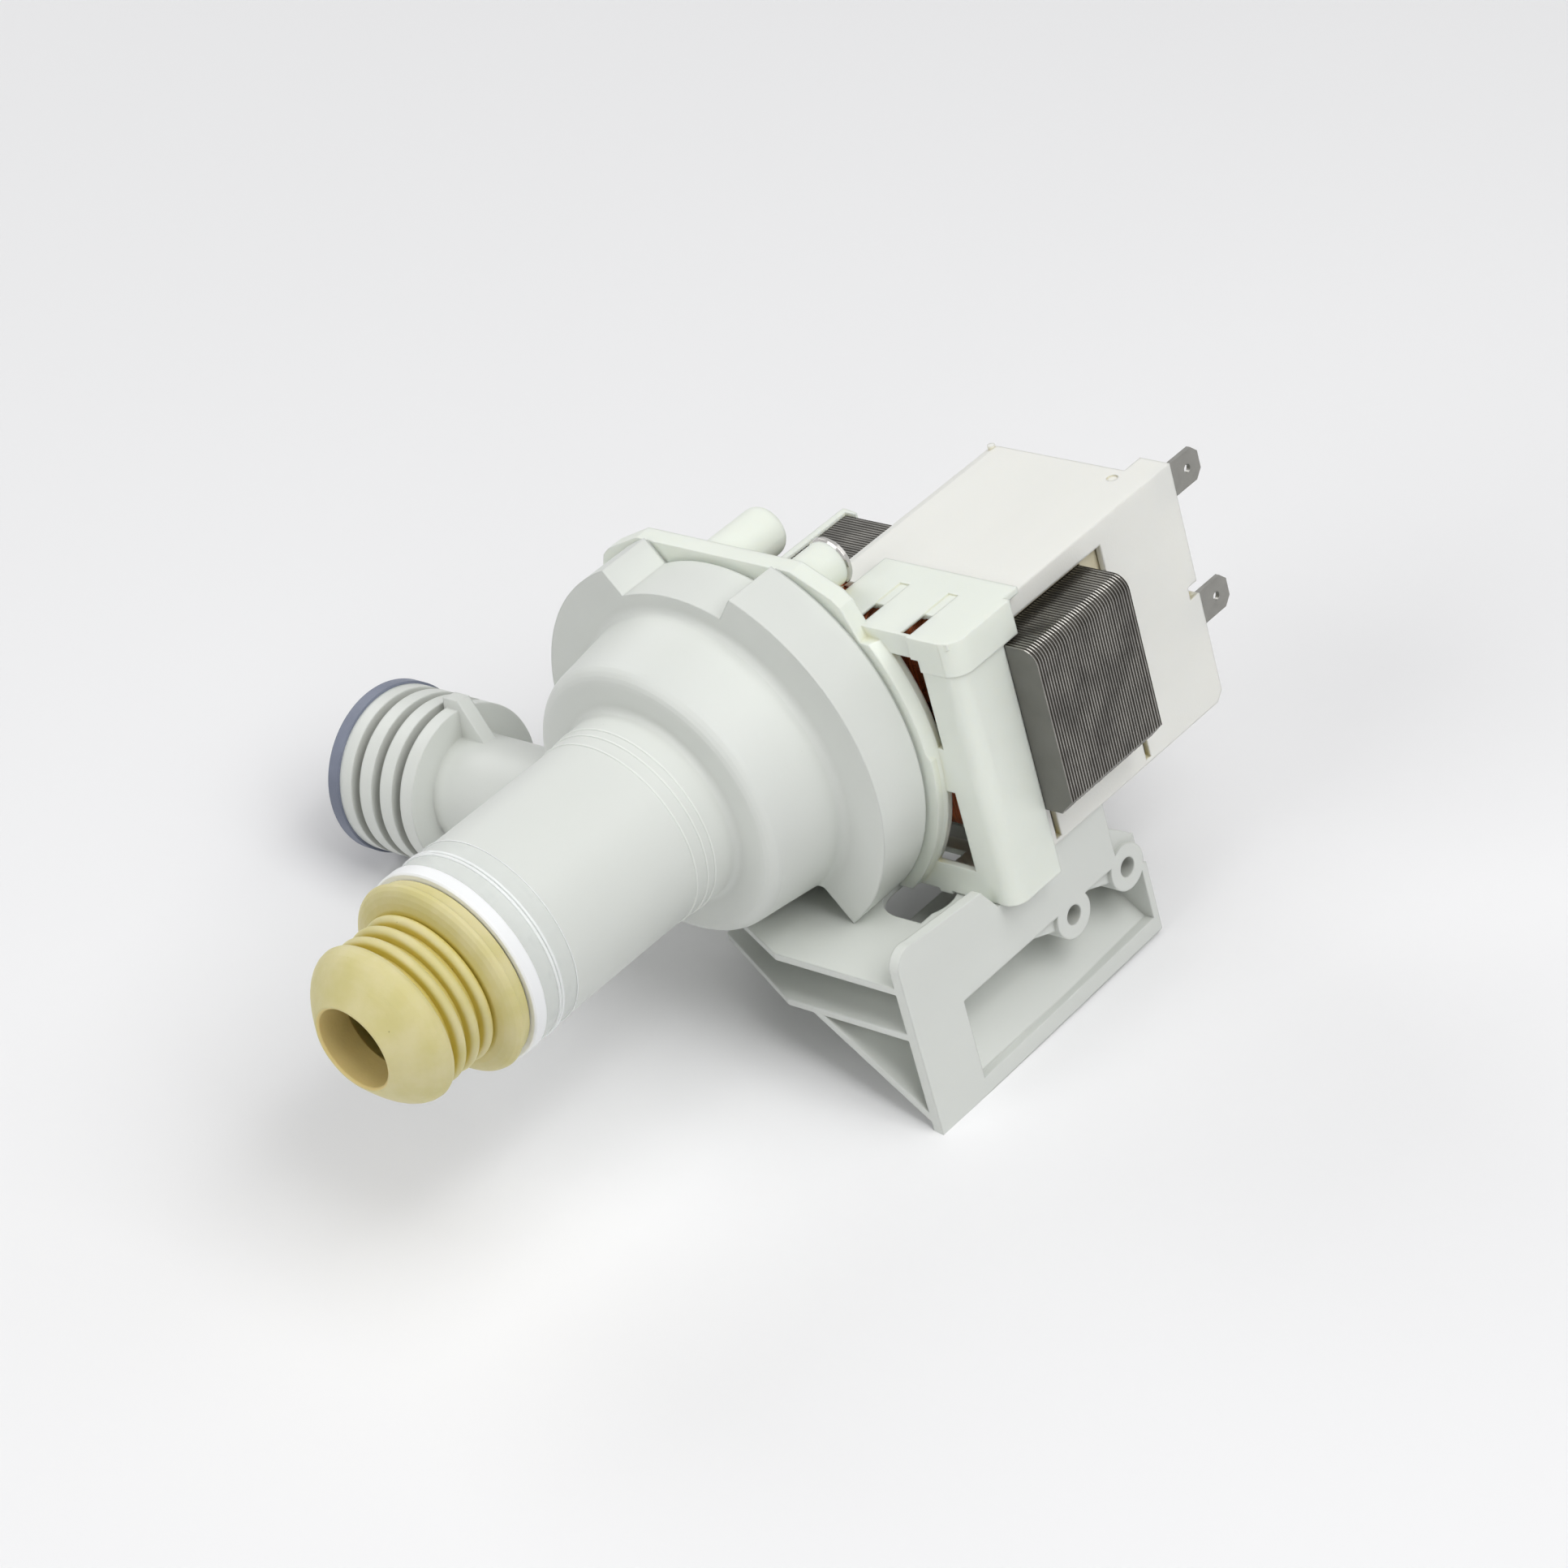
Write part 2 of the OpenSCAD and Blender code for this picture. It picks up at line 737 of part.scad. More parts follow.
// Thin webs that tie the bosses to the bar above them, set back from the outer face
module boss_webs() {
    web_reach = 13;
    web_top = 0.5 - window_top;
    corner_y = plate_end - 6.9;
    corner_high = -31.8;
    corner_low = -37.2;
    web_foot = -screw_drop - boss_r / 2;
    along_x(plate_in, plate_x - 1)
        difference() {
            union() {
                polygon([
                    [screw_near_y - web_reach, web_top], [screw_near_y, web_top],
                    [screw_near_y - 1, web_foot]
                ]);
                polygon([
                    [screw_near_y + 2, web_top], [screw_far_y, web_top],
                    [screw_far_y - 1, web_foot]
                ]);
                polygon([
                    [corner_y, corner_high], [plate_end - 0.4, corner_low], [corner_y, -screw_drop]
                ]);
            }
            screw_places()
                circle(r = boss_r - 0.5);
        }
}

// Room for the foot of the motor frame in the top edge of the plate, with a slope in front of it
module frame_recess() {
    slope_y = skirt_end - 0.9;
    slope_z = -plate_top_front - 1.6;
    floor_y = frame_y - 0.3;
    floor_z = frame_foot - 0.3;
    end_y = frame_end + 0.6;
    along_x(plate_in - cut, plate_x + cut)
        polygon([[slope_y, slope_z], [floor_y, floor_z], [end_y, floor_z], [end_y, 0], [slope_y, 0]]);
}

module side_plate() {
    along_x(plate_in, plate_x)
        difference() {
            plate_outline();
            difference() {
                window_outline();
                screw_places()
                    circle(r = boss_r);
            }
        }
    boss_webs();
    along_x(plate_x - boss_len, plate_x)
        screw_places()
            circle(r = boss_r);
}

// Shelf seen from above: straight front edge by the plate, then a slant under the dome
module shelf_plan(slant, left_x, rear) {
    slant_x = 14.5;
    polygon([
        [plate_in + 0.5, plate_y], [slant_x, plate_y], [left_x, plate_y + slant * (slant_x - left_x)],
        [left_x, rear - 6], [left_x + 6, rear], [plate_in + 0.5, rear]
    ]);
}

// The cut-out under the flange is round at its front left corner only
module upper_shelf() {
    left_x = -12;
    rear = plate_end - 7;
    cut_low = [21.6, skirt_y + 4.5];
    cut_high = [33.4, skirt_y + 27];
    round_r = 6.4;
    along_z(-shelf_drop - shelf_t, -shelf_drop)
        difference() {
            shelf_plan(0.42, left_x, rear);
            translate(cut_low + [round_r, 0])
                square(cut_high - cut_low - [round_r, 0]);
            translate(cut_low + [0, round_r])
                square(cut_high - cut_low - [0, round_r]);
            translate(cut_low + [round_r, round_r])
                circle(r = round_r);
        }
    saddle();
}

// The foot that joins the upper shelf to the underside of the dome
module saddle() {
    along_y(dome_y + 9, skirt_end - 0.4)
        translate([-10.5, -shelf_drop - shelf_t / 2])
            square([12.5, shelf_drop - 20]);
}

// The opening in the lower shelf lies where the cut-out above it lets one look through
module lower_shelf() {
    left_x = -9;
    hole_low = [8, plate_y + 24];
    hole_high = [20, plate_y + 49];
    rib_y = plate_y + 16;
    along_z(-lower_shelf_drop - shelf_t, -lower_shelf_drop)
        difference() {
            shelf_plan(0.46, left_x, plate_end);
            round_rect(hole_low, hole_high, 2);
        }
    for (x = [-6, 4])
        box([x, rib_y, -lower_shelf_drop - shelf_t / 2],
            [x + shelf_t, plate_end - 12, -shelf_drop - shelf_t / 2]);
}

// The gusset slopes from under the lower shelf to the foot of the plate
module gusset() {
    high = [20, -lower_shelf_drop - shelf_t + 0.1];
    low = [plate_in + 0.5, -plate_foot_rear + 0.6];
    along_y(plate_y, plate_end)
        polygon([high, high + [gusset_t * 1.6, 0], low + [0, gusset_t * 1.3], low]);
    along_y(plate_end - window_rear_bar, plate_end)
        polygon([high, [plate_in + 0.5, high[1]], low]);
}

module mounting_bracket() {
    color("gainsboro")
        difference() {
            union() {
                side_plate();
                upper_shelf();
                lower_shelf();
                gusset();
            }
            dome_solid();
            frame_recess();
            along_x(plate_x - boss_len - cut, plate_x + cut)
                screw_places()
                    circle(r = screw_r);
        }
}

module flange_gasket() {
    color("lightgray")
        along_y(skirt_end, flange_y)
            difference() {
                skirt_outline(0.6);
                skirt_outline(skirt_wall + 1);
                circle(r = notch_floor_r - skirt_wall - 1);
            }
}

// Outline of the flange disc: a round with a flat top, blunt corners beside it and a flat bottom
module flange_outline() {
    flat_half = 17.5;
    corner = [26.5, flange_top - 4.2];
    intersection() {
        circle(r = flange_r);
        polygon([
            [-flange_r, -flange_foot], [flange_r, -flange_foot], [flange_r, 0], corner,
            [flat_half, flange_top], [-flat_half, flange_top], [-corner[0], corner[1]], [-flange_r, 0]
        ]);
    }
}

// Flange disc, its slope towards the frame, the catch under it and the spigot in front
module flange_disc() {
    catch_x = 30.2;
    catch_w = 2.8;
    along_y(flange_y, flange_end)
        flange_outline();
    intersection() {
        turned([
            [flange_r - 4, flange_y], [flange_r - 0.6, flange_y], [window_r - 0.1, frame_y + 0.1],
            [window_r - 0.1, flange_end], [flange_r - 4, flange_end]
        ]);
        box([frame_x, flange_y - cut, -flange_foot], [frame_right, flange_end + cut, frame_top - 2]);
    }
    box([catch_x, frame_y, -flange_foot - 0.6], [catch_x + catch_w, flange_end, -flange_foot + cut]);
    pipe_y(spigot_r, spigot_r - spigot_wall, spigot_y, flange_y + cut);
}

// The can round the rotor, with four ribs that end in front of the windings
module rotor_can() {
    rib_end = core_y - bobbin_wall - winding_side - 0.6;
    rib_half = 0.6;
    rod_y(can_r, flange_y, can_end);
    rod_y(tail_r, can_end - cut, tail_end);
    for (turn = [30, 150, 210, 330])
        rotate([0, turn, 0])
            box([can_r - cut, flange_end - cut, -rib_half], [can_r + 9, rib_end, rib_half]);
}

module posts() {
    round_r = 2;
    root_y = flange_y + 0.5;
    translate([-left_post_x, 0, post_z])
        turned(concat(
            [[0, root_y], [left_post_r, root_y]],
            arc([left_post_r - round_r, flange_end + left_post_len - round_r], round_r, 0, 90),
            [[0, flange_end + left_post_len]]
        ));
    translate([right_post_x, 0, post_z]) {
        rod_y(right_post_r, root_y, post_end - post_ring_len);
        rod_y(right_post_r - post_ring_t, root_y, post_end - 0.4);
    }
}

module post_ring() {
    ring_y = post_end - post_ring_len;
    in_r = right_post_r - post_ring_t;
    edge = 0.3;
    color("silver")
        translate([right_post_x, 0, post_z])
            turned([
                [in_r, ring_y], [right_post_r, ring_y], [right_post_r + edge, ring_y + edge],
                [right_post_r + edge, post_end - edge], [right_post_r, post_end], [in_r, post_end]
            ]);
}

// A front window of the frame: its left side follows a round about the pump axis
module frame_window(low, high, r) {
    window_right = 39.9;
    difference() {
        translate([frame_x + 4, low])
            square([window_right - frame_x - 4, high - low]);
        circle(r = r);
    }
}

// Both windows, cut to a smaller round from behind so that the rim in front of the coils is thin
module frame_windows() {
    rim_end = frame_y + 0.4;
    for (part = [[frame_y - cut, rim_end + 0.1, window_r], [rim_end, frame_y + 3, window_r - 1]])
        along_y(part[0], part[1]) {
            frame_window(1.6, 19, part[2]);
            frame_window(-22.6, -6.9, part[2]);
        }
}

// The frame round the front of the coils: front wall, right wall, floor with a hole, top plate and cap
module coil_frame() {
    corner_r = 3;
    cap_proud = 0.8;
    cap_foot = 16.8;
    top_right = frame_right - 0.6;
    hole_low = [23, frame_y + 3];
    hole_high = [29, frame_y + 9];
    difference() {
        union() {
            along_z(frame_foot, frame_top) {
                translate([frame_x, frame_y])
                    square([frame_right - corner_r - frame_x, frame_wall]);
                translate([frame_right_in, frame_y + corner_r])
                    square([frame_wall, frame_end - frame_y - corner_r]);
                intersection() {
                    translate([frame_right - corner_r, frame_y + corner_r])
                        difference() {
                            circle(r = corner_r);
                            circle(r = corner_r - frame_wall);
                        }
                    translate([frame_right - corner_r, frame_y])
                        square([corner_r, corner_r]);
                }
            }
            box([frame_x, frame_y, frame_foot], [frame_right - corner_r, frame_end, frame_foot + frame_wall]);
            frame_cap(cap_foot, cap_proud, corner_r);
            box([frame_x, frame_y, top_plate_z], [top_right, frame_y + top_plate_len, frame_top]);
        }
        frame_windows();
        box(concat(hole_low, frame_foot - cut), concat(hole_high, frame_foot + frame_wall + cut));
        top_slots();
    }
}

// The cap stands a little proud of the frame round its upper corner
module frame_cap(foot, proud, corner_r) {
    cap_rear = frame_end + 3;
    front_len = 12;
    relief_x = 14;
    relief = [5, 8];
    front_y = frame_y - proud / 2;
    round_y = front_y + corner_r + proud;
    along_z(foot, frame_top)
        difference() {
            union() {
                translate([frame_right - front_len, front_y])
                    square([front_len - corner_r + proud, corner_r]);
                translate([frame_right - corner_r, round_y])
                    square([corner_r + proud, cap_rear - round_y]);
                translate([frame_right - corner_r, round_y])
                    circle(r = corner_r + proud);
            }
            translate([frame_x, frame_y + frame_wall])
                square([frame_right_in - frame_x, cap_rear - frame_y]);
            translate([frame_right - relief_x, frame_y - relief[1] / 2])
                square(relief);
        }
}

// Two slots through the top plate, each with a shallow groove behind it and a thin edge on both sides
module top_slots() {
    slot_y = frame_y + 0.6;
    edge_t = 0.5;
    relief_depth = 4;
    relief_w = 1.4;
    groove_end = frame_y + 13;
    groove_depth = 0.3;
    for (x = [26.1, 36.6]) {
        box([x, slot_y, frame_top - relief_depth], [x + slot_w, slot_y + slot_len, frame_top + cut]);
        box([x, slot_y, frame_top - groove_depth], [x + slot_w, groove_end, frame_top + cut]);
        box([x - relief_w, slot_y + 0.2, frame_top - relief_depth],
            [x + slot_w + relief_w, slot_y + slot_len - 0.2, frame_top - edge_t]);
    }
}

// Two arms that reach along the pole ends and hook behind the core
module core_arms() {
    arm_in = pole_len + fit_gap / 2;
    arm_out = arm_in + 1.3;
    arm_top = core_half_h + 0.4;
    arm_foot = 7.6;
    hook_y = core_end + fit_gap / 2;
    hook_t = 0.9;
    hook_len = 2.4;
    for (side = [0, 1])
        mirror([0, 0, side])
            along_z(arm_foot, arm_top)
                polygon([
                    [-arm_out, flange_end - cut], [-arm_in, flange_end - cut], [-arm_in, hook_y],
                    [hook_len - arm_in, hook_y], [hook_len - arm_in, hook_y + hook_t / 2],
                    [-arm_in, hook_y + hook_t], [-arm_out, hook_y + hook_t]
                ]);
}

module motor_mount() {
    groove_half = o_ring_r + 0.2;
    groove_r = chamber_r - 2 * o_ring_r - 0.1;
    color("honeydew")
        difference() {
            union() {
                flange_disc();
                rotor_can();
                posts();
                coil_frame();
                core_arms();
            }
            rod_y(can_bore_r, spigot_y - cut, can_end - can_wall);
            rod_y(bush_r + fit_gap / 2, can_end - can_wall - cut, rear_bush_end);
            pipe_y(spigot_r + cut, groove_r, o_ring_y - groove_half, o_ring_y + groove_half);
        }
}

// Rubber ring in the groove of the mount's spigot
module body_o_ring() {
    color("dimgray")
        translate([0, o_ring_y, 0])
            rotate([90, 0, 0])
                rotate_extrude()
                    translate([chamber_r - o_ring_r - 0.02, 0])
                        circle(r = o_ring_r, $fn = 24);
}

// U core seen along the pump axis
module core_outline() {
    round_r = 2.75;
    chamfer = 3;
    difference() {
        union() {
            polygon([
                [-pole_len, -core_half_h], [yoke_x - chamfer, -core_half_h], [yoke_x, -core_half_h + chamfer],
                [yoke_x, core_half_h - round_r], [yoke_x - round_r, core_half_h], [-pole_len, core_half_h]
            ]);
            translate([yoke_x - round_r, core_half_h - round_r])
                circle(r = round_r);
        }
        translate([-pole_len - cut, -leg_gap / 2])
            square([yoke_in + pole_len + cut, leg_gap]);
        circle(r = pole_bore_r);
    }
}

module core_stack() {
    color("dimgray")
        along_y(core_y, core_end)
            core_outline();
}

// The leg's section in Y and Z, grown by a margin on each side
module leg_section(grow_y, grow_z) {
    translate([core_y - grow_y, leg_gap / 2 - grow_z])
        square([stack_len + 2 * grow_y, leg_t + 2 * grow_z]);
}

module bobbin() {
    flange_y_grow = bobbin_wall + winding_side + 0.1;
    flange_z_grow = bobbin_wall + winding_t;
    hole_gap = 0.1;
    for (ends = [[bobbin_x, bobbin_x + bobbin_wall], [bobbin_end - bobbin_wall, bobbin_end]])
        along_x(ends[0], ends[1])
            difference() {
                leg_section(flange_y_grow, flange_z_grow);
                leg_section(hole_gap, hole_gap);
            }
    along_x(bobbin_x, bobbin_end)
        difference() {
            leg_section(bobbin_wall, bobbin_wall);
            leg_section(hole_gap, hole_gap);
        }
}

module winding() {
    round_r = 3;
    low = [core_y - bobbin_wall - winding_side, leg_gap / 2 - bobbin_wall - winding_t];
    high = [core_end + bobbin_wall + winding_side, core_half_h + bobbin_wall + winding_t];
    along_x(bobbin_x + bobbin_wall, bobbin_end - bobbin_wall)
        difference() {
            round_rect(low, high, round_r);
            leg_section(bobbin_wall, bobbin_wall);
        }
}

module upper_bobbin() {
    color("ivory")
        bobbin();
}

module lower_bobbin() {
    color("ivory")
        mirror([0, 0, 1])
            bobbin();
}

module upper_winding() {
    color("sienna")
        winding();
}

module lower_winding() {
    color("sienna")
        mirror([0, 0, 1])
            winding();
}

// The outer form of the cover seen along the pump axis, with a bevel at its upper left edge
module cover_outline() {
    bevel = [2.2, 0.9];
    polygon([
        [cover_x, cover_foot], [cover_right_x, cover_foot], [cover_right_x, cover_top],
        [cover_x + bevel[0], cover_top], [cover_x, cover_top - bevel[1]]
    ]);
}

module terminal_block() {
    chamfer = 1.6;
    notch_top = -1.5;
    notch_h = 2.5;
    notch_len = 2.5;
    along_x(block_right - block_w, block_right)
        difference() {
            polygon([
                [cover_end - 8, cover_foot], [block_end - chamfer, cover_foot],
                [block_end, cover_foot + chamfer], [block_end, cover_top], [cover_end - 8, cover_top]
            ]);
            translate([block_end - notch_len, notch_top - notch_h])
                square([notch_len + cut, notch_h]);
        }
}

// Opening in the right wall of the cover for the yoke, with a slit down each side of a tongue below it
module yoke_opening() {
    wall_low = cover_right_x - cover_wall - cut;
    wall_high = cover_right_x + cut;
    yoke_room = core_half_h + 1.5;
    opening_end = core_end + yoke_gap;
    slit_w = 1.3;
    slit_foot = cover_foot + 0.8;
    box([wall_low, cover_y - cut, -yoke_room], [wall_high, opening_end, yoke_room]);
    for (y = [core_y + 2.8, opening_end - slit_w])
        box([wall_low, y, slit_foot], [wall_high, y + slit_w, -yoke_room + cut]);
}

module coil_cover() {
    leg_room = core_half_h + 0.5;
    cavity_low = [cover_x + cover_wall, cover_y - cut, cover_foot + cover_wall];
    cavity_high = [cover_right_x - cover_wall, cover_end - cover_wall, cover_top - cover_wall];
    color("beige")
        difference() {
            union() {
                difference() {
                    along_y(cover_y, cover_end)
                        cover_outline();
                    box(cavity_low, cavity_high);
                    yoke_opening();
                    box([cover_x - cut, cover_y - cut, -leg_room],
                        [cover_x + cover_wall + cut, core_end + 0.6, leg_room]);
                    rod_y(can_r + 0.4, core_end, can_end + 0.4);
                }
                terminal_block();
                translate([cover_x + 1.4, cover_end - 0.6, cover_top - 1.5])
                    cylinder(h = 1.9, r = 0.7, $fn = 24);
            }
            box([block_right - block_w - cut, cover_y, cover_foot + cover_wall],
                [cavity_high[0], cavity_high[1], cover_top - cover_wall]);
            blade(0);
            blade(blade_pitch);
            translate([block_right - block_w - 0.6, cover_end - 2.6, cover_top - 0.3])
                cylinder(h = 1, r = 1, $fn = 24);
        }
}

// One spade terminal, its foot inside the block
module blade(drop) {
    chamfer = 1.5;
    top = blade_top - drop;
    foot = top - blade_w;
    tip = block_end + blade_len;
    root_y = cover_end - 0.4;
    along_x(blade_x, blade_x + blade_t)
        polygon([
            [root_y, foot], [tip - chamfer, foot], [tip, foot + chamfer],
            [tip, top - chamfer], [tip - chamfer, top], [root_y, top]
        ]);
}

module drilled_blade(drop) {
    hole_back = 3.3;
    color("darkgray")
        difference() {
            blade(drop);
            translate([0, block_end + blade_len - hole_back, blade_top - drop - blade_w / 2])
                rod_x(blade_hole_r, blade_x - cut, blade_x + blade_t + cut);
        }
}

module upper_terminal() {
    drilled_blade(0);
}

module lower_terminal() {
    drilled_blade(blade_pitch);
}

// The plate closes the pump chamber and carries the front bush in a cup
module bearing_plate() {
    cup_wall = cup_r - seat_r;
    hole_r = bush_r + 0.3;
    color("whitesmoke")
        turned([
            [hole_r, bearing_y], [chamber_r - 0.3, bearing_y], [chamber_r - 0.3, bearing_y + plate_disc_t],
            [cup_r, bearing_y + plate_disc_t], [cup_r, cup_end], [hole_r, cup_end],
            [hole_r, cup_end - cup_wall_t], [cup_r - cup_wall, cup_end - cup_wall_t],
            [cup_r - cup_wall, bearing_y + plate_disc_t], [hole_r, bearing_y + plate_disc_t]
        ]);
}

module front_seat() {
    color("black")
        pipe_y(seat_r, bush_r, front_bush_y + 0.3, cup_end - cup_wall_t);
}

module front_bush() {
    color("slategray")
        pipe_y(bush_r, shaft_r + shaft_clear, front_bush_y, front_bush_end);
}

module rear_bush() {
    color("slategray")
        pipe_y(bush_r, shaft_r + shaft_clear, rear_bush_y, rear_bush_end);
}

module thrust_washer() {
    color("white")
        pipe_y(bush_r - 0.4, shaft_r + 0.1, washer_y, washer_end);
}

module rotor_shaft() {
    color("silver")
        rod_y(shaft_r, shaft_y, shaft_end);
}

module ring_magnet() {
    color("dimgray")
        pipe_y(magnet_r, magnet_bore_r, core_y, core_end);
}

// The carrier is a sleeve through the magnet, with a collar in front and a lip behind
module magnet_carrier() {
    color("tan")
        turned([
            [shaft_r, carrier_y], [magnet_r - 0.6, carrier_y], [magnet_r - 0.6, core_y],
            [magnet_bore_r, core_y], [magnet_bore_r, core_end], [magnet_bore_r + 2, core_end],
            [magnet_bore_r + 2, core_end + 1], [shaft_r, core_end + 1]
        ]);
}

// The dog turns with the shaft inside the hub and pushes the impeller's stop
module drive_dog() {
    sleeve_r = shaft_r + 1.2;
    color("tan")
        along_y(dog_y + 0.2, dog_end)
            difference() {
                union() {
                    circle(r = sleeve_r);
                    sector(dog_r, 90, dog_angle);
                }
                circle(r = shaft_r);
            }
}

module impeller() {
    bore_r = shaft_r + shaft_clear;
    stop_in_r = shaft_r + 1.2 + 0.3;
    color("white")
        difference() {
            union() {
                rod_y(hub_r, vane_y, cap_y);
                for (i = [0 : vane_count - 1])
                    rotate([0, i * 360 / vane_count, 0])
                        box([hub_r - cut, vane_y, -vane_t / 2], [impeller_r, vane_y + vane_h, vane_t / 2]);
            }
            rod_y(bore_r, shaft_y - 0.2, cap_y + cut);
            along_y(dog_y, cap_y + cut)
                difference() {
                    circle(r = hub_bore_r);
                    difference() {
                        sector(hub_bore_r + cut, 270, stop_angle);
                        circle(r = stop_in_r);
                    }
                }
        }
}

module hub_cap() {
    color("white")
        pipe_y(hub_r, shaft_r + shaft_clear, cap_y, cap_end);
}

pump_housing();
outlet_spout();
mounting_bracket();
inlet_bellows();
mouth_ring();
film_band();
outlet_seal();
flange_gasket();
motor_mount();
post_ring();
coil_cover();
core_stack();
upper_bobbin();
lower_bobbin();
upper_winding();
lower_winding();
upper_terminal();
lower_terminal();
bearing_plate();
front_seat();
front_bush();
rear_bush();
body_o_ring();
thrust_washer();
rotor_shaft();
ring_magnet();
magnet_carrier();
drive_dog();
impeller();
hub_cap();
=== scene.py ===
"""Looks of a dishwasher drain pump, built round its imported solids. Metres, in the solids' frame."""

from __future__ import annotations

import logging
import math
import random
from dataclasses import dataclass
from enum import Enum

import bmesh
import bpy
from mathutils import Matrix, Vector

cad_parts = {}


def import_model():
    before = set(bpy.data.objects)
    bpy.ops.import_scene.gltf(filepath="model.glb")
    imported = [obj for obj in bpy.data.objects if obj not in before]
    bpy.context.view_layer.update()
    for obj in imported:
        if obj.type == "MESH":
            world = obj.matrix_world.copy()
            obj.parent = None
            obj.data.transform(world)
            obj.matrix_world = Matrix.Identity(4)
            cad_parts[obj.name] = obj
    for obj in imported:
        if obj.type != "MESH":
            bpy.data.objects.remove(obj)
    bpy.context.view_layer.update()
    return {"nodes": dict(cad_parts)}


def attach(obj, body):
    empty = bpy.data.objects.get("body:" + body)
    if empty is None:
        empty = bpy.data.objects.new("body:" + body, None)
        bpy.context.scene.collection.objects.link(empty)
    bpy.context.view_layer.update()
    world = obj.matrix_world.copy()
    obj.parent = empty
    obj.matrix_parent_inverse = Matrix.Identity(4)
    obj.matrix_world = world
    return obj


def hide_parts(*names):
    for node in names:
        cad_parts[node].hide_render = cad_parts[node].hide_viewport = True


LOG = logging.getLogger("drain_pump")
MM = 0.001
MERGE = 0.001 * MM

Rgb = tuple[int, int, int]
Color = tuple[float, float, float, float]
Triple = tuple[float, float, float]
Pair = tuple[float, float]


class Body(Enum):
    """The rigid bodies that pieces ride on."""

    PUMP = "pump_body"
    ROTOR = "rotor"
    IMPELLER = "impeller"


class Leg(Enum):
    """The two legs of the core, with the sign of their Z."""

    UPPER = 1
    LOWER = -1


def linear(rgb: Rgb, share: float = 1.0) -> Color:
    """Turn a display colour into the linear colour that a shader takes, by the sRGB curve.

    Args:
        rgb: Red, green and blue from 0 to 255.
        share: Factor on the linear values, to darken or lighten.

    Returns:
        Linear red, green, blue and an alpha of 1.
    """
    values = []
    for level in rgb:
        part = level / 255
        value = part / 12.92 if part <= 0.04045 else ((part + 0.055) / 1.055) ** 2.4
        values.append(min(1.0, value * share))
    return values[0], values[1], values[2], 1.0


class Wire:
    """A shader value that Python expressions work on, through Math nodes."""

    def __init__(self, tree: ShaderTree, socket: bpy.types.NodeSocket) -> None:
        """Keep the tree and the output socket that carries the value."""
        self.tree = tree
        self.socket = socket

    def math(self, operation: str, *others: Wire | float, swap: bool = False) -> Wire:
        """Add a Math node with this value and others.

        Args:
            operation: Name of the Math node's operation.
            others: Further inputs.
            swap: Whether this value comes last.

        Returns:
            The node's result.
        """
        values = [self, *others]
        if swap:
            values.reverse()
        node = self.tree.node("ShaderNodeMath", {"operation": operation}, values)
        return Wire(self.tree, node.outputs[0])

    def __add__(self, other: Wire | float) -> Wire:
        """Return self + other."""
        return self.math("ADD", other)

    def __radd__(self, other: Wire | float) -> Wire:
        """Return other + self."""
        return self.math("ADD", other, swap=True)

    def __sub__(self, other: Wire | float) -> Wire:
        """Return self - other."""
        return self.math("SUBTRACT", other)

    def __rsub__(self, other: Wire | float) -> Wire:
        """Return other - self."""
        return self.math("SUBTRACT", other, swap=True)

    def __mul__(self, other: Wire | float) -> Wire:
        """Return self * other."""
        return self.math("MULTIPLY", other)

    def __rmul__(self, other: Wire | float) -> Wire:
        """Return other * self."""
        return self.math("MULTIPLY", other, swap=True)

    def __abs__(self) -> Wire:
        """Return the value without its sign."""
        return self.math("ABSOLUTE")

    def swing(self, width: float) -> Wire:
        """Turn a value from 0 to 1 into a swing of that width round 0."""
        return (self - 0.5) * width

    def ramp(self, low: float, high: float, start: float = 0.0, end: float = 1.0) -> Wire:
        """Map low..high to start..end, smoothly and held at both ends.

        Args:
            low: Value that gives start.
            high: Value that gives end.
            start: Result at low and below.
            end: Result at high and above.

        Returns:
            The mapped value.
        """
        settings = {"interpolation_type": "SMOOTHSTEP"}
        node = self.tree.node("ShaderNodeMapRange", settings, [self, low, high, start, end])
        return Wire(self.tree, node.outputs[0])

    def fall(self, low: float, high: float) -> Wire:
        """Map low..high to 1..0, smoothly and held at both ends."""
        return self.ramp(low, high, 1.0, 0.0)


Value = Wire | bpy.types.NodeSocket | Vector | tuple | float


@dataclass(frozen=True)
class Pattern:
    """A noise: the size of its features in millimetres, its finer octaves and its stretch."""

    size: float
    detail: float = 2.0
    stretch: Triple = (1.0, 1.0, 1.0)


@dataclass(frozen=True)
class Dots:
    """Scattered dots that fade in where a cloud's value rises through a range. Millimetres.

    A dot is full inside core_share of its radius.
    """

    spacing: float
    radius: float
    cloud: Pattern
    cloud_range: Pair
    core_share: float = 0.6


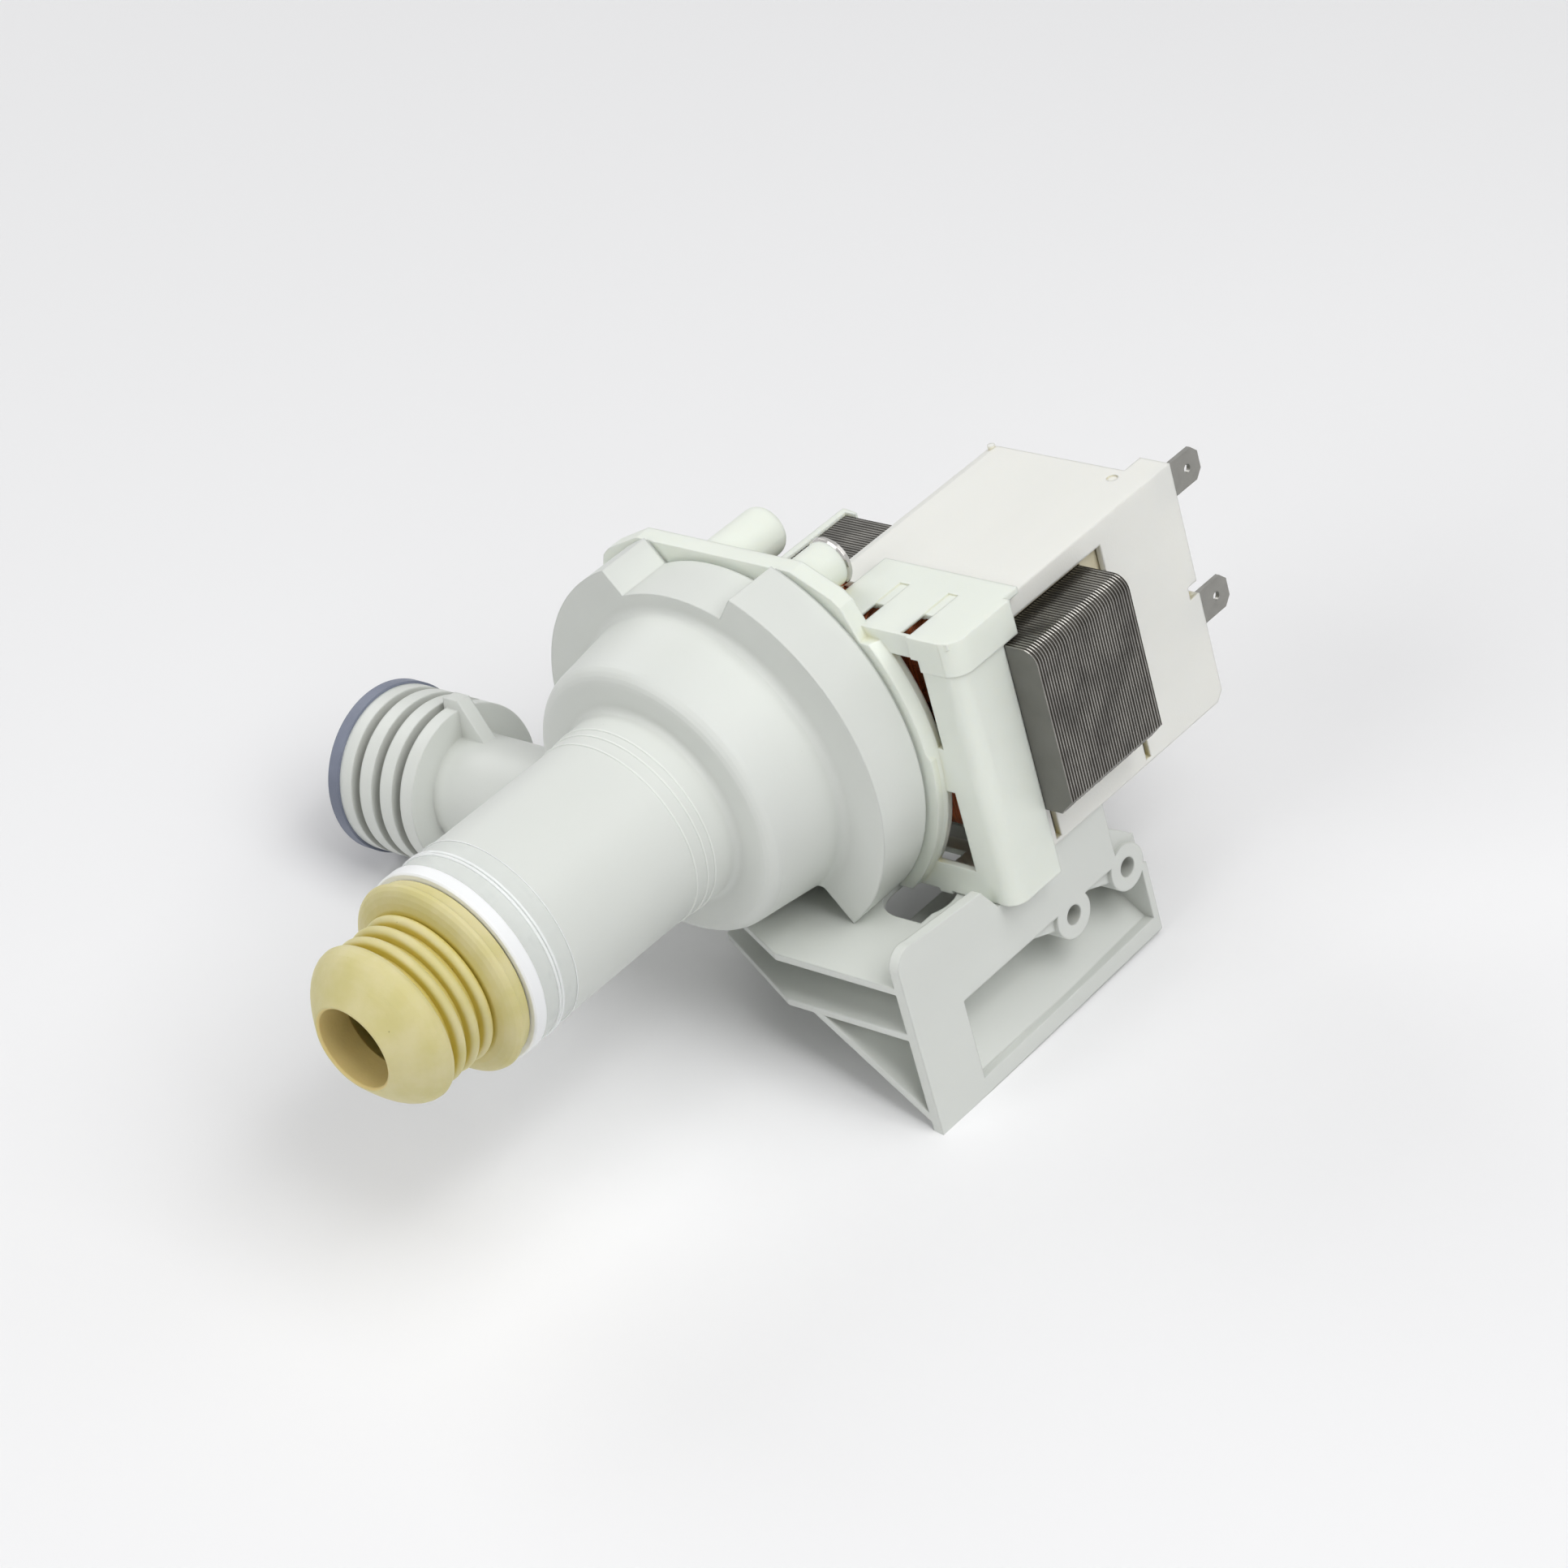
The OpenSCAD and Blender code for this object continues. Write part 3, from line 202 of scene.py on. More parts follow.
class ShaderTree:
    """The node tree of one material or world, with its object coordinates."""

    BEVEL_SAMPLES = 6
    CREASE_SAMPLES = 8
    EDGE_COSINES: Pair = (0.8, 0.99)
    CREASE_OPENNESS: Pair = (0.2, 0.82)

    def __init__(self, owner: bpy.types.Material | bpy.types.World) -> None:
        """Empty the node tree of a new material or world and fetch the coordinates.

        Args:
            owner: The material or world.
        """
        owner.use_nodes = True
        self.owner = owner
        self.tree = owner.node_tree
        self.tree.nodes.clear()
        self.place = self.node("ShaderNodeTexCoord", {}, {}).outputs["Object"]
        parts = self.node("ShaderNodeSeparateXYZ", {}, [self.place])
        self.x = Wire(self, parts.outputs[0])
        self.z = Wire(self, parts.outputs[2])

    def node(
        self,
        kind: str,
        settings: dict[str, str | int | bool],
        inputs: dict[str | int, Value] | list[Value],
    ) -> bpy.types.ShaderNode:
        """Add a node, set it up and connect it.

        Args:
            kind: Type name of the node.
            settings: Properties to set before the sockets.
            inputs: Values, sockets or wires, by socket name or in order.

        Returns:
            The new node.
        """
        made = self.tree.nodes.new(kind)
        for key, value in settings.items():
            setattr(made, key, value)
        pairs = inputs.items() if isinstance(inputs, dict) else enumerate(inputs)
        for key, value in pairs:
            if isinstance(value, Wire):
                value = value.socket
            if isinstance(value, bpy.types.NodeSocket):
                self.tree.links.new(value, made.inputs[key])
            else:
                made.inputs[key].default_value = value
        return made

    def noise(self, pattern: Pattern) -> Wire:
        """Add a noise.

        Args:
            pattern: Its size, detail and stretch.

        Returns:
            The noise, from 0 to 1.
        """
        scaled = {"Vector": self.place, "Scale": pattern.stretch}
        place = self.node("ShaderNodeMapping", {}, scaled).outputs[0]
        inputs = {"Vector": place, "Scale": 1 / (pattern.size * MM), "Detail": pattern.detail}
        return Wire(self, self.node("ShaderNodeTexNoise", {}, inputs).outputs[0])

    def scatter(self, dots: Dots) -> Wire:
        """Add small scattered dots.

        Args:
            dots: Their spacing, radius and cloud.

        Returns:
            1 in a dot and 0 outside.
        """
        inputs = {"Vector": self.place, "Scale": 1 / (dots.spacing * MM)}
        cells = self.node("ShaderNodeTexVoronoi", {"feature": "F1"}, inputs)
        rim = dots.radius / dots.spacing
        inside = Wire(self, cells.outputs["Distance"]).fall(rim * dots.core_share, rim)
        return inside * self.noise(dots.cloud).ramp(*dots.cloud_range)

    def mix(self, share: Wire | float, low: Color | Wire, high: Color | Wire) -> Wire:
        """Blend two colours.

        Args:
            share: 0 for low, 1 for high.
            low: First colour.
            high: Second colour.

        Returns:
            The blended colour.
        """
        inputs = {0: share, 6: low, 7: high}
        node = self.node("ShaderNodeMix", {"data_type": "RGBA"}, inputs)
        return Wire(self, node.outputs[2])

    def shades(self, share: Wire, color: Rgb, span: Pair) -> Wire:
        """Vary a display colour.

        Args:
            share: 0 for the first shade, 1 for the second.
            color: The colour.
            span: Factors on the colour for the two shades.

        Returns:
            The varied colour.
        """
        return self.mix(share, linear(color, span[0]), linear(color, span[1]))

    def rounded(self, radius: float) -> Wire:
        """Give the normal of edges rounded by a radius in millimetres."""
        settings = {"samples": self.BEVEL_SAMPLES}
        node = self.node("ShaderNodeBevel", settings, {"Radius": radius * MM})
        return Wire(self, node.outputs[0])

    def bump(self, height: Wire, depth: float, normal: Wire | None = None) -> Wire:
        """Turn a height into a normal.

        Args:
            height: Height from 0 to 1.
            depth: Real height of 1 in millimetres.
            normal: Normal to start from.

        Returns:
            The bumped normal.
        """
        inputs = {"Height": height, "Distance": depth * MM, "Strength": 1.0}
        if normal is not None:
            inputs["Normal"] = normal
        return Wire(self, self.node("ShaderNodeBump", {}, inputs).outputs[0])

    def edges(self, normal: Wire) -> Wire:
        """Find the rounded edges, where a rounded normal leaves the true one.

        Args:
            normal: The rounded normal.

        Returns:
            0 on plain faces, towards 1 on edges.
        """
        true_normal = self.node("ShaderNodeNewGeometry", {}, {}).outputs["Normal"]
        settings = {"operation": "DOT_PRODUCT"}
        dot = self.node("ShaderNodeVectorMath", settings, [normal, true_normal])
        return Wire(self, dot.outputs["Value"]).fall(*self.EDGE_COSINES)

    def creases(self, plain: Wire, color: Rgb | None, reach: float) -> Wire:
        """Paint shade into the creases and hollows, where less of the surroundings is open, as a
        darker or warmer colour.

        Args:
            plain: Colour in the open.
            color: Display colour of the painted shade in a crease, or None for no painted shade.
            reach: How far away a neighbour still counts, in millimetres.

        Returns:
            The colour with its painted crease shade.
        """
        if color is None:
            return plain
        settings = {"samples": self.CREASE_SAMPLES, "only_local": True}
        node = self.node("ShaderNodeAmbientOcclusion", settings, {"Distance": reach * MM})
        share = Wire(self, node.outputs["AO"]).fall(*self.CREASE_OPENNESS)
        return self.mix(share, plain, linear(color))

    def looked_at(self) -> Wire:
        """Tell the rays that look from those that only bring soft light.

        Returns:
            1 for the eye's rays, reflections and rays through clear stuff, and 0 for the rest.
        """
        path = self.node("ShaderNodeLightPath", {}, {}).outputs
        camera = Wire(self, path["Is Camera Ray"])
        glossy = Wire(self, path["Is Glossy Ray"])
        clear = Wire(self, path["Is Transmission Ray"])
        return camera.math("MAXIMUM", glossy).math("MAXIMUM", clear)

    def finish(self, inputs: dict[str | int, Value]) -> bpy.types.Material:
        """Close the tree with a Principled shader.

        Args:
            inputs: The shader's inputs by name.

        Returns:
            The finished material.
        """
        shader = self.node("ShaderNodeBsdfPrincipled", {}, inputs)
        self.node("ShaderNodeOutputMaterial", {}, {"Surface": shader.outputs[0]})
        return self.owner


@dataclass(frozen=True)
class Finish:
    """What every finish has: its name, its material slot and its main colour."""

    name: str
    slot: str
    color: Rgb

    def tree(self) -> ShaderTree:
        """Start the shader tree of a new material."""
        return ShaderTree(bpy.data.materials.new(self.name))

    def material(self) -> bpy.types.Material:
        """Build the material, which each kind of finish does in its own way."""
        raise NotImplementedError


@dataclass(frozen=True)
class MouldedPlastic(Finish):
    """Moulded plastic with a fine skin, faint flow, dust, a painted highlight on its rounded edges
    and, where given, painted shade in its creases. Millimetres.
    """

    roughness: float = 0.42
    refraction: float = 1.49
    edge_radius: float = 0.35
    edge_share: float = 0.5
    painted_edge_highlight: float = 1.12
    subsurface: float = 0.0
    subsurface_radius: Triple = (1.0, 0.9, 0.75)
    subsurface_scale: float = 2.5
    flow: Pattern = Pattern(22.0, 3.0, (1.0, 0.35, 1.0))
    flow_spread: float = 0.05
    flow_gloss: float = 0.16
    skin: Pattern = Pattern(0.35)
    skin_depth: float = 0.012
    skin_gloss: float = 0.1
    dust: Dots = Dots(4.5, 0.09, Pattern(9.0), (0.55, 0.7))
    dust_share: float = 0.5
    dust_shade: float = 0.45
    # crease_shade_color paints shade into creases and hollows as a colour.
    crease_shade_color: Rgb | None = None
    crease_reach: float = 5.0

    def material(self) -> bpy.types.Material:
        """Build the material.

        Returns:
            The new material.
        """
        tree = self.tree()
        flow = tree.noise(self.flow)
        skin = tree.noise(self.skin)
        dust = tree.scatter(self.dust)
        normal = tree.rounded(self.edge_radius)
        edge = tree.edges(normal)
        plain = tree.shades(flow, self.color, (1 - self.flow_spread, 1 + self.flow_spread))
        # Painted shade: creases and hollows take the crease colour.
        plain = tree.creases(plain, self.crease_shade_color, self.crease_reach)
        # Painted highlight: the rounded edges are lightened towards a lighter shade of the colour.
        lit = tree.mix(edge * self.edge_share, plain, linear(self.color, self.painted_edge_highlight))
        color = tree.mix(dust * self.dust_share, lit, linear(self.color, self.dust_shade))
        gloss = self.roughness + flow.swing(self.flow_gloss)
        return tree.finish(
            {
                "Base Color": color,
                "Roughness": gloss + skin.swing(self.skin_gloss),
                "IOR": self.refraction,
                "Subsurface Weight": self.subsurface,
                "Subsurface Radius": self.subsurface_radius,
                "Subsurface Scale": self.subsurface_scale * MM,
                "Normal": tree.bump(skin, self.skin_depth, normal),
            }
        )


@dataclass(frozen=True)
class SoftRubber(Finish):
    """Matt rubber with a cloudy bloom, a few dark specks and, where given, painted shade in its
    creases. Millimetres.

    A bore_light_color is painted warm light on what lies nearer to the pump's axis than bore_radius,
    which is the wall of the mouth's hole; it takes the place of the painted crease shade there.
    """

    shade: Rgb
    roughness: float = 0.6
    shine: float = 0.35
    edge_radius: float = 0.25
    subsurface: float = 0.0
    subsurface_radius: Triple = (1.0, 0.75, 0.35)
    subsurface_scale: float = 1.6
    cloud: Pattern = Pattern(7.0, 4.0)
    cloud_range: Pair = (0.3, 0.7)
    cloud_gloss: float = 0.1
    grain: Pattern = Pattern(0.5, 3.0)
    grain_depth: float = 0.03
    grain_gloss: float = 0.25
    specks: Dots = Dots(3.6, 0.15, Pattern(5.0, 1.0), (0.46, 0.53))
    speck_amount: float = 1.0
    speck_share: float = 0.75
    speck_shade: float = 0.25
    # crease_shade_color paints shade into creases and hollows as a colour.
    crease_shade_color: Rgb | None = None
    crease_reach: float = 4.0
    bore_light_color: Rgb | None = None
    bore_radius: float = 7.6
    bore_blend: float = 0.3

    def bore(self, tree: ShaderTree, plain: Wire) -> Wire:
        """Paint warm light on the wall of the mouth's hole.

        Args:
            tree: The material's tree.
            plain: Colour outside the hole.

        Returns:
            The colour with the painted light of the hole, where there is one.
        """
        if self.bore_light_color is None:
            return plain
        radius = (tree.x * tree.x + tree.z * tree.z).math("SQRT")
        inside = radius.fall(self.bore_radius * MM, (self.bore_radius + self.bore_blend) * MM)
        return tree.mix(inside, plain, linear(self.bore_light_color))

    def material(self) -> bpy.types.Material:
        """Build the material.

        Returns:
            The new material.
        """
        tree = self.tree()
        cloud = tree.noise(self.cloud)
        grain = tree.noise(self.grain)
        specks = tree.scatter(self.specks) * self.speck_amount
        normal = tree.rounded(self.edge_radius)
        plain = tree.mix(cloud.ramp(*self.cloud_range), linear(self.shade), linear(self.color))
        # Painted shade: creases and hollows take the crease colour.
        plain = tree.creases(plain, self.crease_shade_color, self.crease_reach)
        plain = self.bore(tree, plain)
        color = tree.mix(specks * self.speck_share, plain, linear(self.shade, self.speck_shade))
        gloss = self.roughness + grain.swing(self.grain_gloss)
        return tree.finish(
            {
                "Base Color": color,
                "Roughness": gloss + cloud.swing(self.cloud_gloss),
                "Specular IOR Level": self.shine,
                "Subsurface Weight": self.subsurface,
                "Subsurface Radius": self.subsurface_radius,
                "Subsurface Scale": self.subsurface_scale * MM,
                "Normal": tree.bump(grain, self.grain_depth, normal),
            }
        )


@dataclass(frozen=True)
class ClearFilm(Finish):
    """Thin clear film, nearly invisible but for its shine. Millimetres."""

    density: float = 0.14
    roughness: float = 0.14
    ripples: Pattern = Pattern(6.0, 1.0, (1.0, 2.0, 1.0))
    ripple_span: Pair = (0.95, 1.0)
    ripple_depth: float = 0.05
    ripple_gloss: float = 0.1
    haze: float = 0.08
    haze_range: Pair = (0.5, 0.75)

    def material(self) -> bpy.types.Material:
        """Build the material, which shows on the film's outer faces only.

        Returns:
            The new material.
        """
        tree = self.tree()
        ripples = tree.noise(self.ripples)
        behind = Wire(tree, tree.node("ShaderNodeNewGeometry", {}, {}).outputs["Backfacing"])
        haze = ripples.ramp(*self.haze_range) * self.haze
        return tree.finish(
            {
                "Base Color": tree.shades(ripples, self.color, self.ripple_span),
                "Roughness": self.roughness + ripples * self.ripple_gloss,
                "Alpha": (self.density + haze) * (1 - behind),
                "Normal": tree.bump(ripples, self.ripple_depth),
            }
        )


@dataclass(frozen=True)
class SheetSteel(Finish):
    """Punched sheet: dull faces, dark cut edges and a rounded corner between them with a painted
    highlight.

    cut_range and face_range say how far a normal points along the stack, which is 0 on a cut edge
    and 1 on a face. Millimetres.
    """

    edge_color: Rgb
    corner_highlight_color: Rgb
    metal: float = 0.9
    roughness: float = 0.4
    cut_range: Pair = (0.3, 0.5)
    face_range: Pair = (0.85, 0.95)
    face_span: Pair = (0.8, 1.2)
    edge_span: Pair = (0.65, 1.35)
    edge_dullness: float = 0.1
    corner_span: Pair = (0.6, 1.2)
    corner_gloss: float = 0.14
    cloud: Pattern = Pattern(6.0, 4.0)
    cloud_depth: float = 0.03
    cloud_gloss: float = 0.2
    cloud_wear: float = 0.7
    wear_range: Pair = (0.3, 0.7)
    streak: Pattern = Pattern(0.5, 3.0, (1.0, 0.2, 1.0))
    streak_wear: float = 0.3

    def material(self) -> bpy.types.Material:
        """Build the material.

        Returns:
            The new material.
        """
        tree = self.tree()
        cloud = tree.noise(self.cloud)
        streak = tree.noise(self.streak)
        normal = tree.node("ShaderNodeNewGeometry", {}, {}).outputs["True Normal"]
        along = abs(Wire(tree, tree.node("ShaderNodeSeparateXYZ", {}, [normal]).outputs[1]))
        cut_edge = along.fall(*self.cut_range)
        corner = along.ramp(*self.cut_range) * along.fall(*self.face_range)
        worn = cloud.ramp(*self.wear_range) * self.cloud_wear + streak * self.streak_wear
        face = tree.shades(cloud, self.color, self.face_span)
        edge = tree.shades(worn, self.edge_color, self.edge_span)
        # Painted highlight: the rounded corner between a face and a cut edge gets a light colour.
        corner_highlight = tree.shades(worn, self.corner_highlight_color, self.corner_span)
        gloss = self.roughness + cloud.swing(self.cloud_gloss)
        return tree.finish(
            {
                "Base Color": tree.mix(corner, tree.mix(cut_edge, face, edge), corner_highlight),
                "Metallic": self.metal - cut_edge * self.edge_dullness,
                "Roughness": gloss - corner * self.corner_gloss,
                "Normal": tree.bump(cloud, self.cloud_depth),
            }
        )


@dataclass(frozen=True)
class BareMetal(Finish):
    """Plain or plated metal with fine brush marks and faint stains. Millimetres."""

    roughness: float = 0.3
    edge_radius: float = 0.1
    stain: Pattern = Pattern(2.5, 4.0)
    stain_span: Pair = (0.8, 1.15)
    stain_gloss: float = 0.2
    brush: Pattern = Pattern(0.12, 2.0, (1.0, 0.05, 1.0))
    brush_depth: float = 0.004
    brush_gloss: float = 0.15

    def material(self) -> bpy.types.Material:
        """Build the material.

        Returns:
            The new material.
        """
        tree = self.tree()
        stain = tree.noise(self.stain)
        brush = tree.noise(self.brush)
        normal = tree.rounded(self.edge_radius)
        gloss = self.roughness + brush.swing(self.brush_gloss)
        return tree.finish(
            {
                "Base Color": tree.shades(stain, self.color, self.stain_span),
                "Metallic": 1.0,
                "Roughness": gloss + stain.swing(self.stain_gloss),
                "Normal": tree.bump(brush, self.brush_depth, normal),
            }
        )


@dataclass(frozen=True)
class EnamelledWire(Finish):
    """Copper wire under brown-red enamel. Millimetres."""

    metal: float = 0.75
    roughness: float = 0.3
    coat: float = 0.4
    coat_roughness: float = 0.15
    cloud: Pattern = Pattern(3.0, 3.0)
    cloud_coat: float = 0.2
    cloud_depth: float = 0.02
    cloud_gloss: float = 0.2
    turn: Pattern = Pattern(0.5, 1.0, (1.0, 0.02, 0.02))
    turn_range: Pair = (0.35, 0.65)
    turn_span: Pair = (0.75, 1.25)

    def material(self) -> bpy.types.Material:
        """Build the material.

        Returns:
            The new material.
        """
        tree = self.tree()
        cloud = tree.noise(self.cloud)
        turn = tree.noise(self.turn).ramp(*self.turn_range)
        return tree.finish(
            {
                "Base Color": tree.shades(turn, self.color, self.turn_span),
                "Metallic": self.metal,
                "Roughness": self.roughness + cloud.swing(self.cloud_gloss),
                "Coat Weight": self.coat + cloud * self.cloud_coat,
                "Coat Roughness": self.coat_roughness,
                "Normal": tree.bump(cloud, self.cloud_depth),
            }
        )


@dataclass(frozen=True)
class Sintered(Finish):
    """Dark sintered matter, such as ferrite or carbon, with fine pores. Millimetres."""

    roughness: float = 0.6
    edge_radius: float = 0.15
    pores: Pattern = Pattern(0.25, 3.0)
    pore_depth: float = 0.02
    pore_gloss: float = 0.3
    cloud: Pattern = Pattern(4.0, 3.0)
    cloud_span: Pair = (0.8, 1.3)

    def material(self) -> bpy.types.Material:
        """Build the material.

        Returns:
            The new material.
        """
        tree = self.tree()
        pores = tree.noise(self.pores)
        cloud = tree.noise(self.cloud)
        normal = tree.rounded(self.edge_radius)
        return tree.finish(
            {
                "Base Color": tree.shades(cloud, self.color, self.cloud_span),
                "Roughness": self.roughness + pores.swing(self.pore_gloss),
                "Normal": tree.bump(pores, self.pore_depth, normal),
            }
        )


HOUSING = MouldedPlastic(
    name="housing_plastic",
    slot="housing_grey",
    color=(214, 217, 212),
    edge_radius=0.5,
    subsurface=0.05,
    # Painted shade: a darker grey in the housing's creases and hollows.
    crease_shade_color=(188, 190, 184),
)
# Painted highlight: the raised lines round the tube are a lighter grey than the housing.
TUBE_LINE_HIGHLIGHT = MouldedPlastic(
    name="tube_line_highlight_plastic",
    slot="housing_grey",
    color=(226, 229, 224),
    roughness=0.35,
    edge_radius=0.05,
)
MOUNT = MouldedPlastic(
    name="mount_nylon",
    slot="mount_plastic",
    color=(229, 234, 224),
    roughness=0.36,
    edge_radius=0.45,
    subsurface=0.3,
    # Painted shade and light: a yellowish tint in the mount's creases, for light passing through the
    # nylon into its shaded hollows.
    crease_shade_color=(218, 216, 184),
)
COVER = MouldedPlastic(
    name="cover_plastic",
    slot="cover_cream",
    color=(232, 232, 226),
    roughness=0.5,
    edge_radius=0.6,
    subsurface=0.15,
    skin_depth=0.02,
    # Painted shade and light: a warm darker tint in the cover's creases and hollows.
    crease_shade_color=(196, 184, 120),
)
RING = MouldedPlastic(
    name="white_ring_plastic",
    slot="ring_white",
    color=(246, 247, 247),
    roughness=0.35,
    edge_radius=0.2,
    subsurface=0.1,
)
BOBBIN = MouldedPlastic(
    name="bobbin_nylon",
    slot="bobbin_ivory",
    color=(214, 206, 178),
    roughness=0.45,
    edge_radius=0.2,
    subsurface=0.1,
)
BEARING = MouldedPlastic(
    name="bearing_plastic",
    slot="bearing_plastic",
    color=(222, 222, 216),
    roughness=0.45,
    edge_radius=0.3,
)
IMPELLER = MouldedPlastic(
    name="impeller_plastic",
    slot="impeller_white",
    color=(232, 234, 232),
    roughness=0.4,
    edge_radius=0.3,
)
BELLOWS = SoftRubber(
    name="beige_rubber",
    slot="bellows_rubber",
    color=(214, 205, 157),
    shade=(205, 196, 136),
    roughness=0.5,
    subsurface=0.2,
    # Painted shade and bounced light: a saturated yellow in the grooves between the folds.
    crease_shade_color=(212, 195, 96),
    crease_reach=14.0,
    # Painted light: a warm colour on the wall of the mouth's hole.
    bore_light_color=(222, 202, 138),
)
SEAL = SoftRubber(
    name="seal_rubber",
    slot="seal_blue_grey",
    color=(124, 130, 146),
    shade=(112, 118, 134),
    roughness=0.5,
    speck_amount=0.3,
)
# Painted shade: the gasket's grey is set to read as the soft shade line of the seam between skirt and
# flange.
SEAM_SHADE_GASKET = SoftRubber(
    name="gasket_rubber",
    slot="seal_blue_grey",
    color=(196, 199, 195),
    shade=(184, 187, 183),
    edge_radius=0.1,
    speck_amount=0.3,
)
BLACK_RUBBER = SoftRubber(
    name="seat_black_rubber",
    slot="seat_rubber",
    color=(38, 38, 38),
    shade=(28, 28, 28),
)
FILM = ClearFilm("clear_film", "film_clear", (235, 240, 240))
FILM_LINE = ClearFilm("clear_film_line", "film_clear", (250, 252, 252), density=0.7)
SHEETS = SheetSteel(
    name="sheet_steel",
    slot="core_steel",
    color=(120, 119, 115),
    edge_color=(53, 50, 44),
    # Painted highlight: the light colour along the sheets' rounded corners.
    corner_highlight_color=(154, 152, 147),
)
RING_STEEL = BareMetal("bright_ring_steel", "ring_steel", (196, 194, 190), roughness=0.12)
TERMINAL = BareMetal("tinned_terminal", "terminal_tin", (150, 149, 144), roughness=0.34)
SHAFT = BareMetal("ground_shaft", "shaft_steel", (190, 190, 190), roughness=0.22)
COPPER = EnamelledWire("copper_wire", "winding_copper", (188, 104, 62))
FERRITE = Sintered("magnet_ferrite", "magnet_ferrite", (66, 66, 68), roughness=0.55)
CARBON = Sintered("carbon_bush", "bush_carbon", (62, 62, 64), roughness=0.45)

NODE_FINISH: dict[str, Finish] = {
    "pump_housing": HOUSING,
    "outlet_spout": HOUSING,
    "mounting_bracket": HOUSING,
    "inlet_bellows": BELLOWS,
    "mouth_ring": RING,
    "film_band": FILM,
    "outlet_seal": SEAL,
    "flange_gasket": SEAM_SHADE_GASKET,
    "motor_mount": MOUNT,
    "post_ring": RING_STEEL,
    "coil_cover": COVER,
    "upper_bobbin": BOBBIN,
    "lower_bobbin": BOBBIN,
    "upper_terminal": TERMINAL,
    "lower_terminal": TERMINAL,
    "bearing_plate": BEARING,
    "front_seat": BLACK_RUBBER,
    "front_bush": CARBON,
    "rear_bush": CARBON,
    "body_o_ring": BLACK_RUBBER,
    "thrust_washer": BEARING,
    "rotor_shaft": SHAFT,
    "ring_magnet": FERRITE,
    "magnet_carrier": BEARING,
    "drive_dog": BEARING,
    "impeller": IMPELLER,
    "hub_cap": IMPELLER,
}


def placed(name: str, data: bpy.types.ID) -> bpy.types.Object:
    """Put new data, such as a mesh or a lamp, into the scene.

    Args:
        name: Name of the object.
        data: What the object shows.

    Returns:
        The new object.
    """
    made = bpy.data.objects.new(name, data)
    bpy.context.scene.collection.objects.link(made)
    return made


def meshed(
    shape: bmesh.types.BMesh, name: str, material: bpy.types.Material
) -> bpy.types.Object:
    """Turn a bmesh into an object of the scene.

    Args:
        shape: The shape, which is freed.
        name: Name of the object and its mesh.
        material: Its one material.

    Returns:
        The new object.
    """
    mesh = bpy.data.meshes.new(name)
    shape.to_mesh(mesh)
    shape.free()
    mesh.materials.append(material)
    return placed(name, mesh)


def smooth(piece: bpy.types.Object, angle: float) -> None:
    """Shade a piece smooth, but for its sharp edges.

    Args:
        piece: The piece.
        angle: Least angle of a sharp edge, in degrees.
    """
    mesh = piece.data
    mesh.polygons.foreach_set("use_smooth", [True] * len(mesh.polygons))
    mesh.set_sharp_from_angle(angle=math.radians(angle))


def facing(place: Vector, target: Vector) -> Matrix:
    """Give the matrix of a camera or lamp that looks from one place to another.

    Args:
        place: Where it is.
        target: What it looks at.

    Returns:
        Its matrix in the world.
    """
    turn = (target - place).to_track_quat("-Z", "Y").to_matrix().to_4x4()
    return Matrix.Translation(place) @ turn


def verts_of(geometry: list[bmesh.types.BMElem]) -> list[bmesh.types.BMVert]:
    """Pick the vertices from an operator's result."""
    return [item for item in geometry if isinstance(item, bmesh.types.BMVert)]


def edges_of(geometry: list[bmesh.types.BMElem]) -> list[bmesh.types.BMEdge]:
    """Pick the edges from an operator's result."""
    return [item for item in geometry if isinstance(item, bmesh.types.BMEdge)]


def edges_at(verts: list[bmesh.types.BMVert]) -> list[bmesh.types.BMEdge]:
    """Give every edge at some vertices once."""
    return list(dict.fromkeys(edge for vert in verts for edge in vert.link_edges))


def bevel(
    shape: bmesh.types.BMesh, edges: list[bmesh.types.BMEdge], width: float, segments: int
) -> None:
    """Bevel some edges.

    Args:
        shape: The bmesh.
        edges: The edges.
        width: Width of the bevel in millimetres.
        segments: How many faces it has across.
    """
    bmesh.ops.bevel(
        shape,
        geom=edges,
        offset=width * MM,
        segments=segments,
        profile=0.5,
        affect="EDGES",
        material=-1,
    )


class Workshop:
    """Keeps one material a finish, and turns bmeshes into finished pieces."""

    def __init__(self) -> None:
        """Start with no materials."""
        self.materials: dict[str, bpy.types.Material] = {}

    def material(self, finish: Finish) -> bpy.types.Material:
        """Give the material of a finish, made once.

        Args:
            finish: One of the finishes above.

        Returns:
            Its material.
        """
        if finish.name not in self.materials:
            self.materials[finish.name] = finish.material()
        return self.materials[finish.name]

    def dress(self, node: bpy.types.Object, finish: Finish) -> None:
        """Give a CAD node its material.

        Args:
            node: The node's object.
            finish: Its finish.
        """
        material = self.material(finish)
        if not node.material_slots:
            node.data.materials.append(material)
        for slot in node.material_slots:
            slot.material = material

    def piece(
        self, shape: bmesh.types.BMesh, name: str, finish: Finish, body: Body
    ) -> bpy.types.Object:
        """Turn a bmesh in metres into a piece that rides on a body.

        Args:
            shape: The shape, which is freed.
            name: Name of the piece.
            finish: Its finish.
            body: The body that it rides on.

        Returns:
            The new object.
        """
        made = meshed(shape, name, self.material(finish))
        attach(made, body.value)
        LOG.info("%s: %d faces, on %s", name, len(made.data.polygons), body.value)
        return made


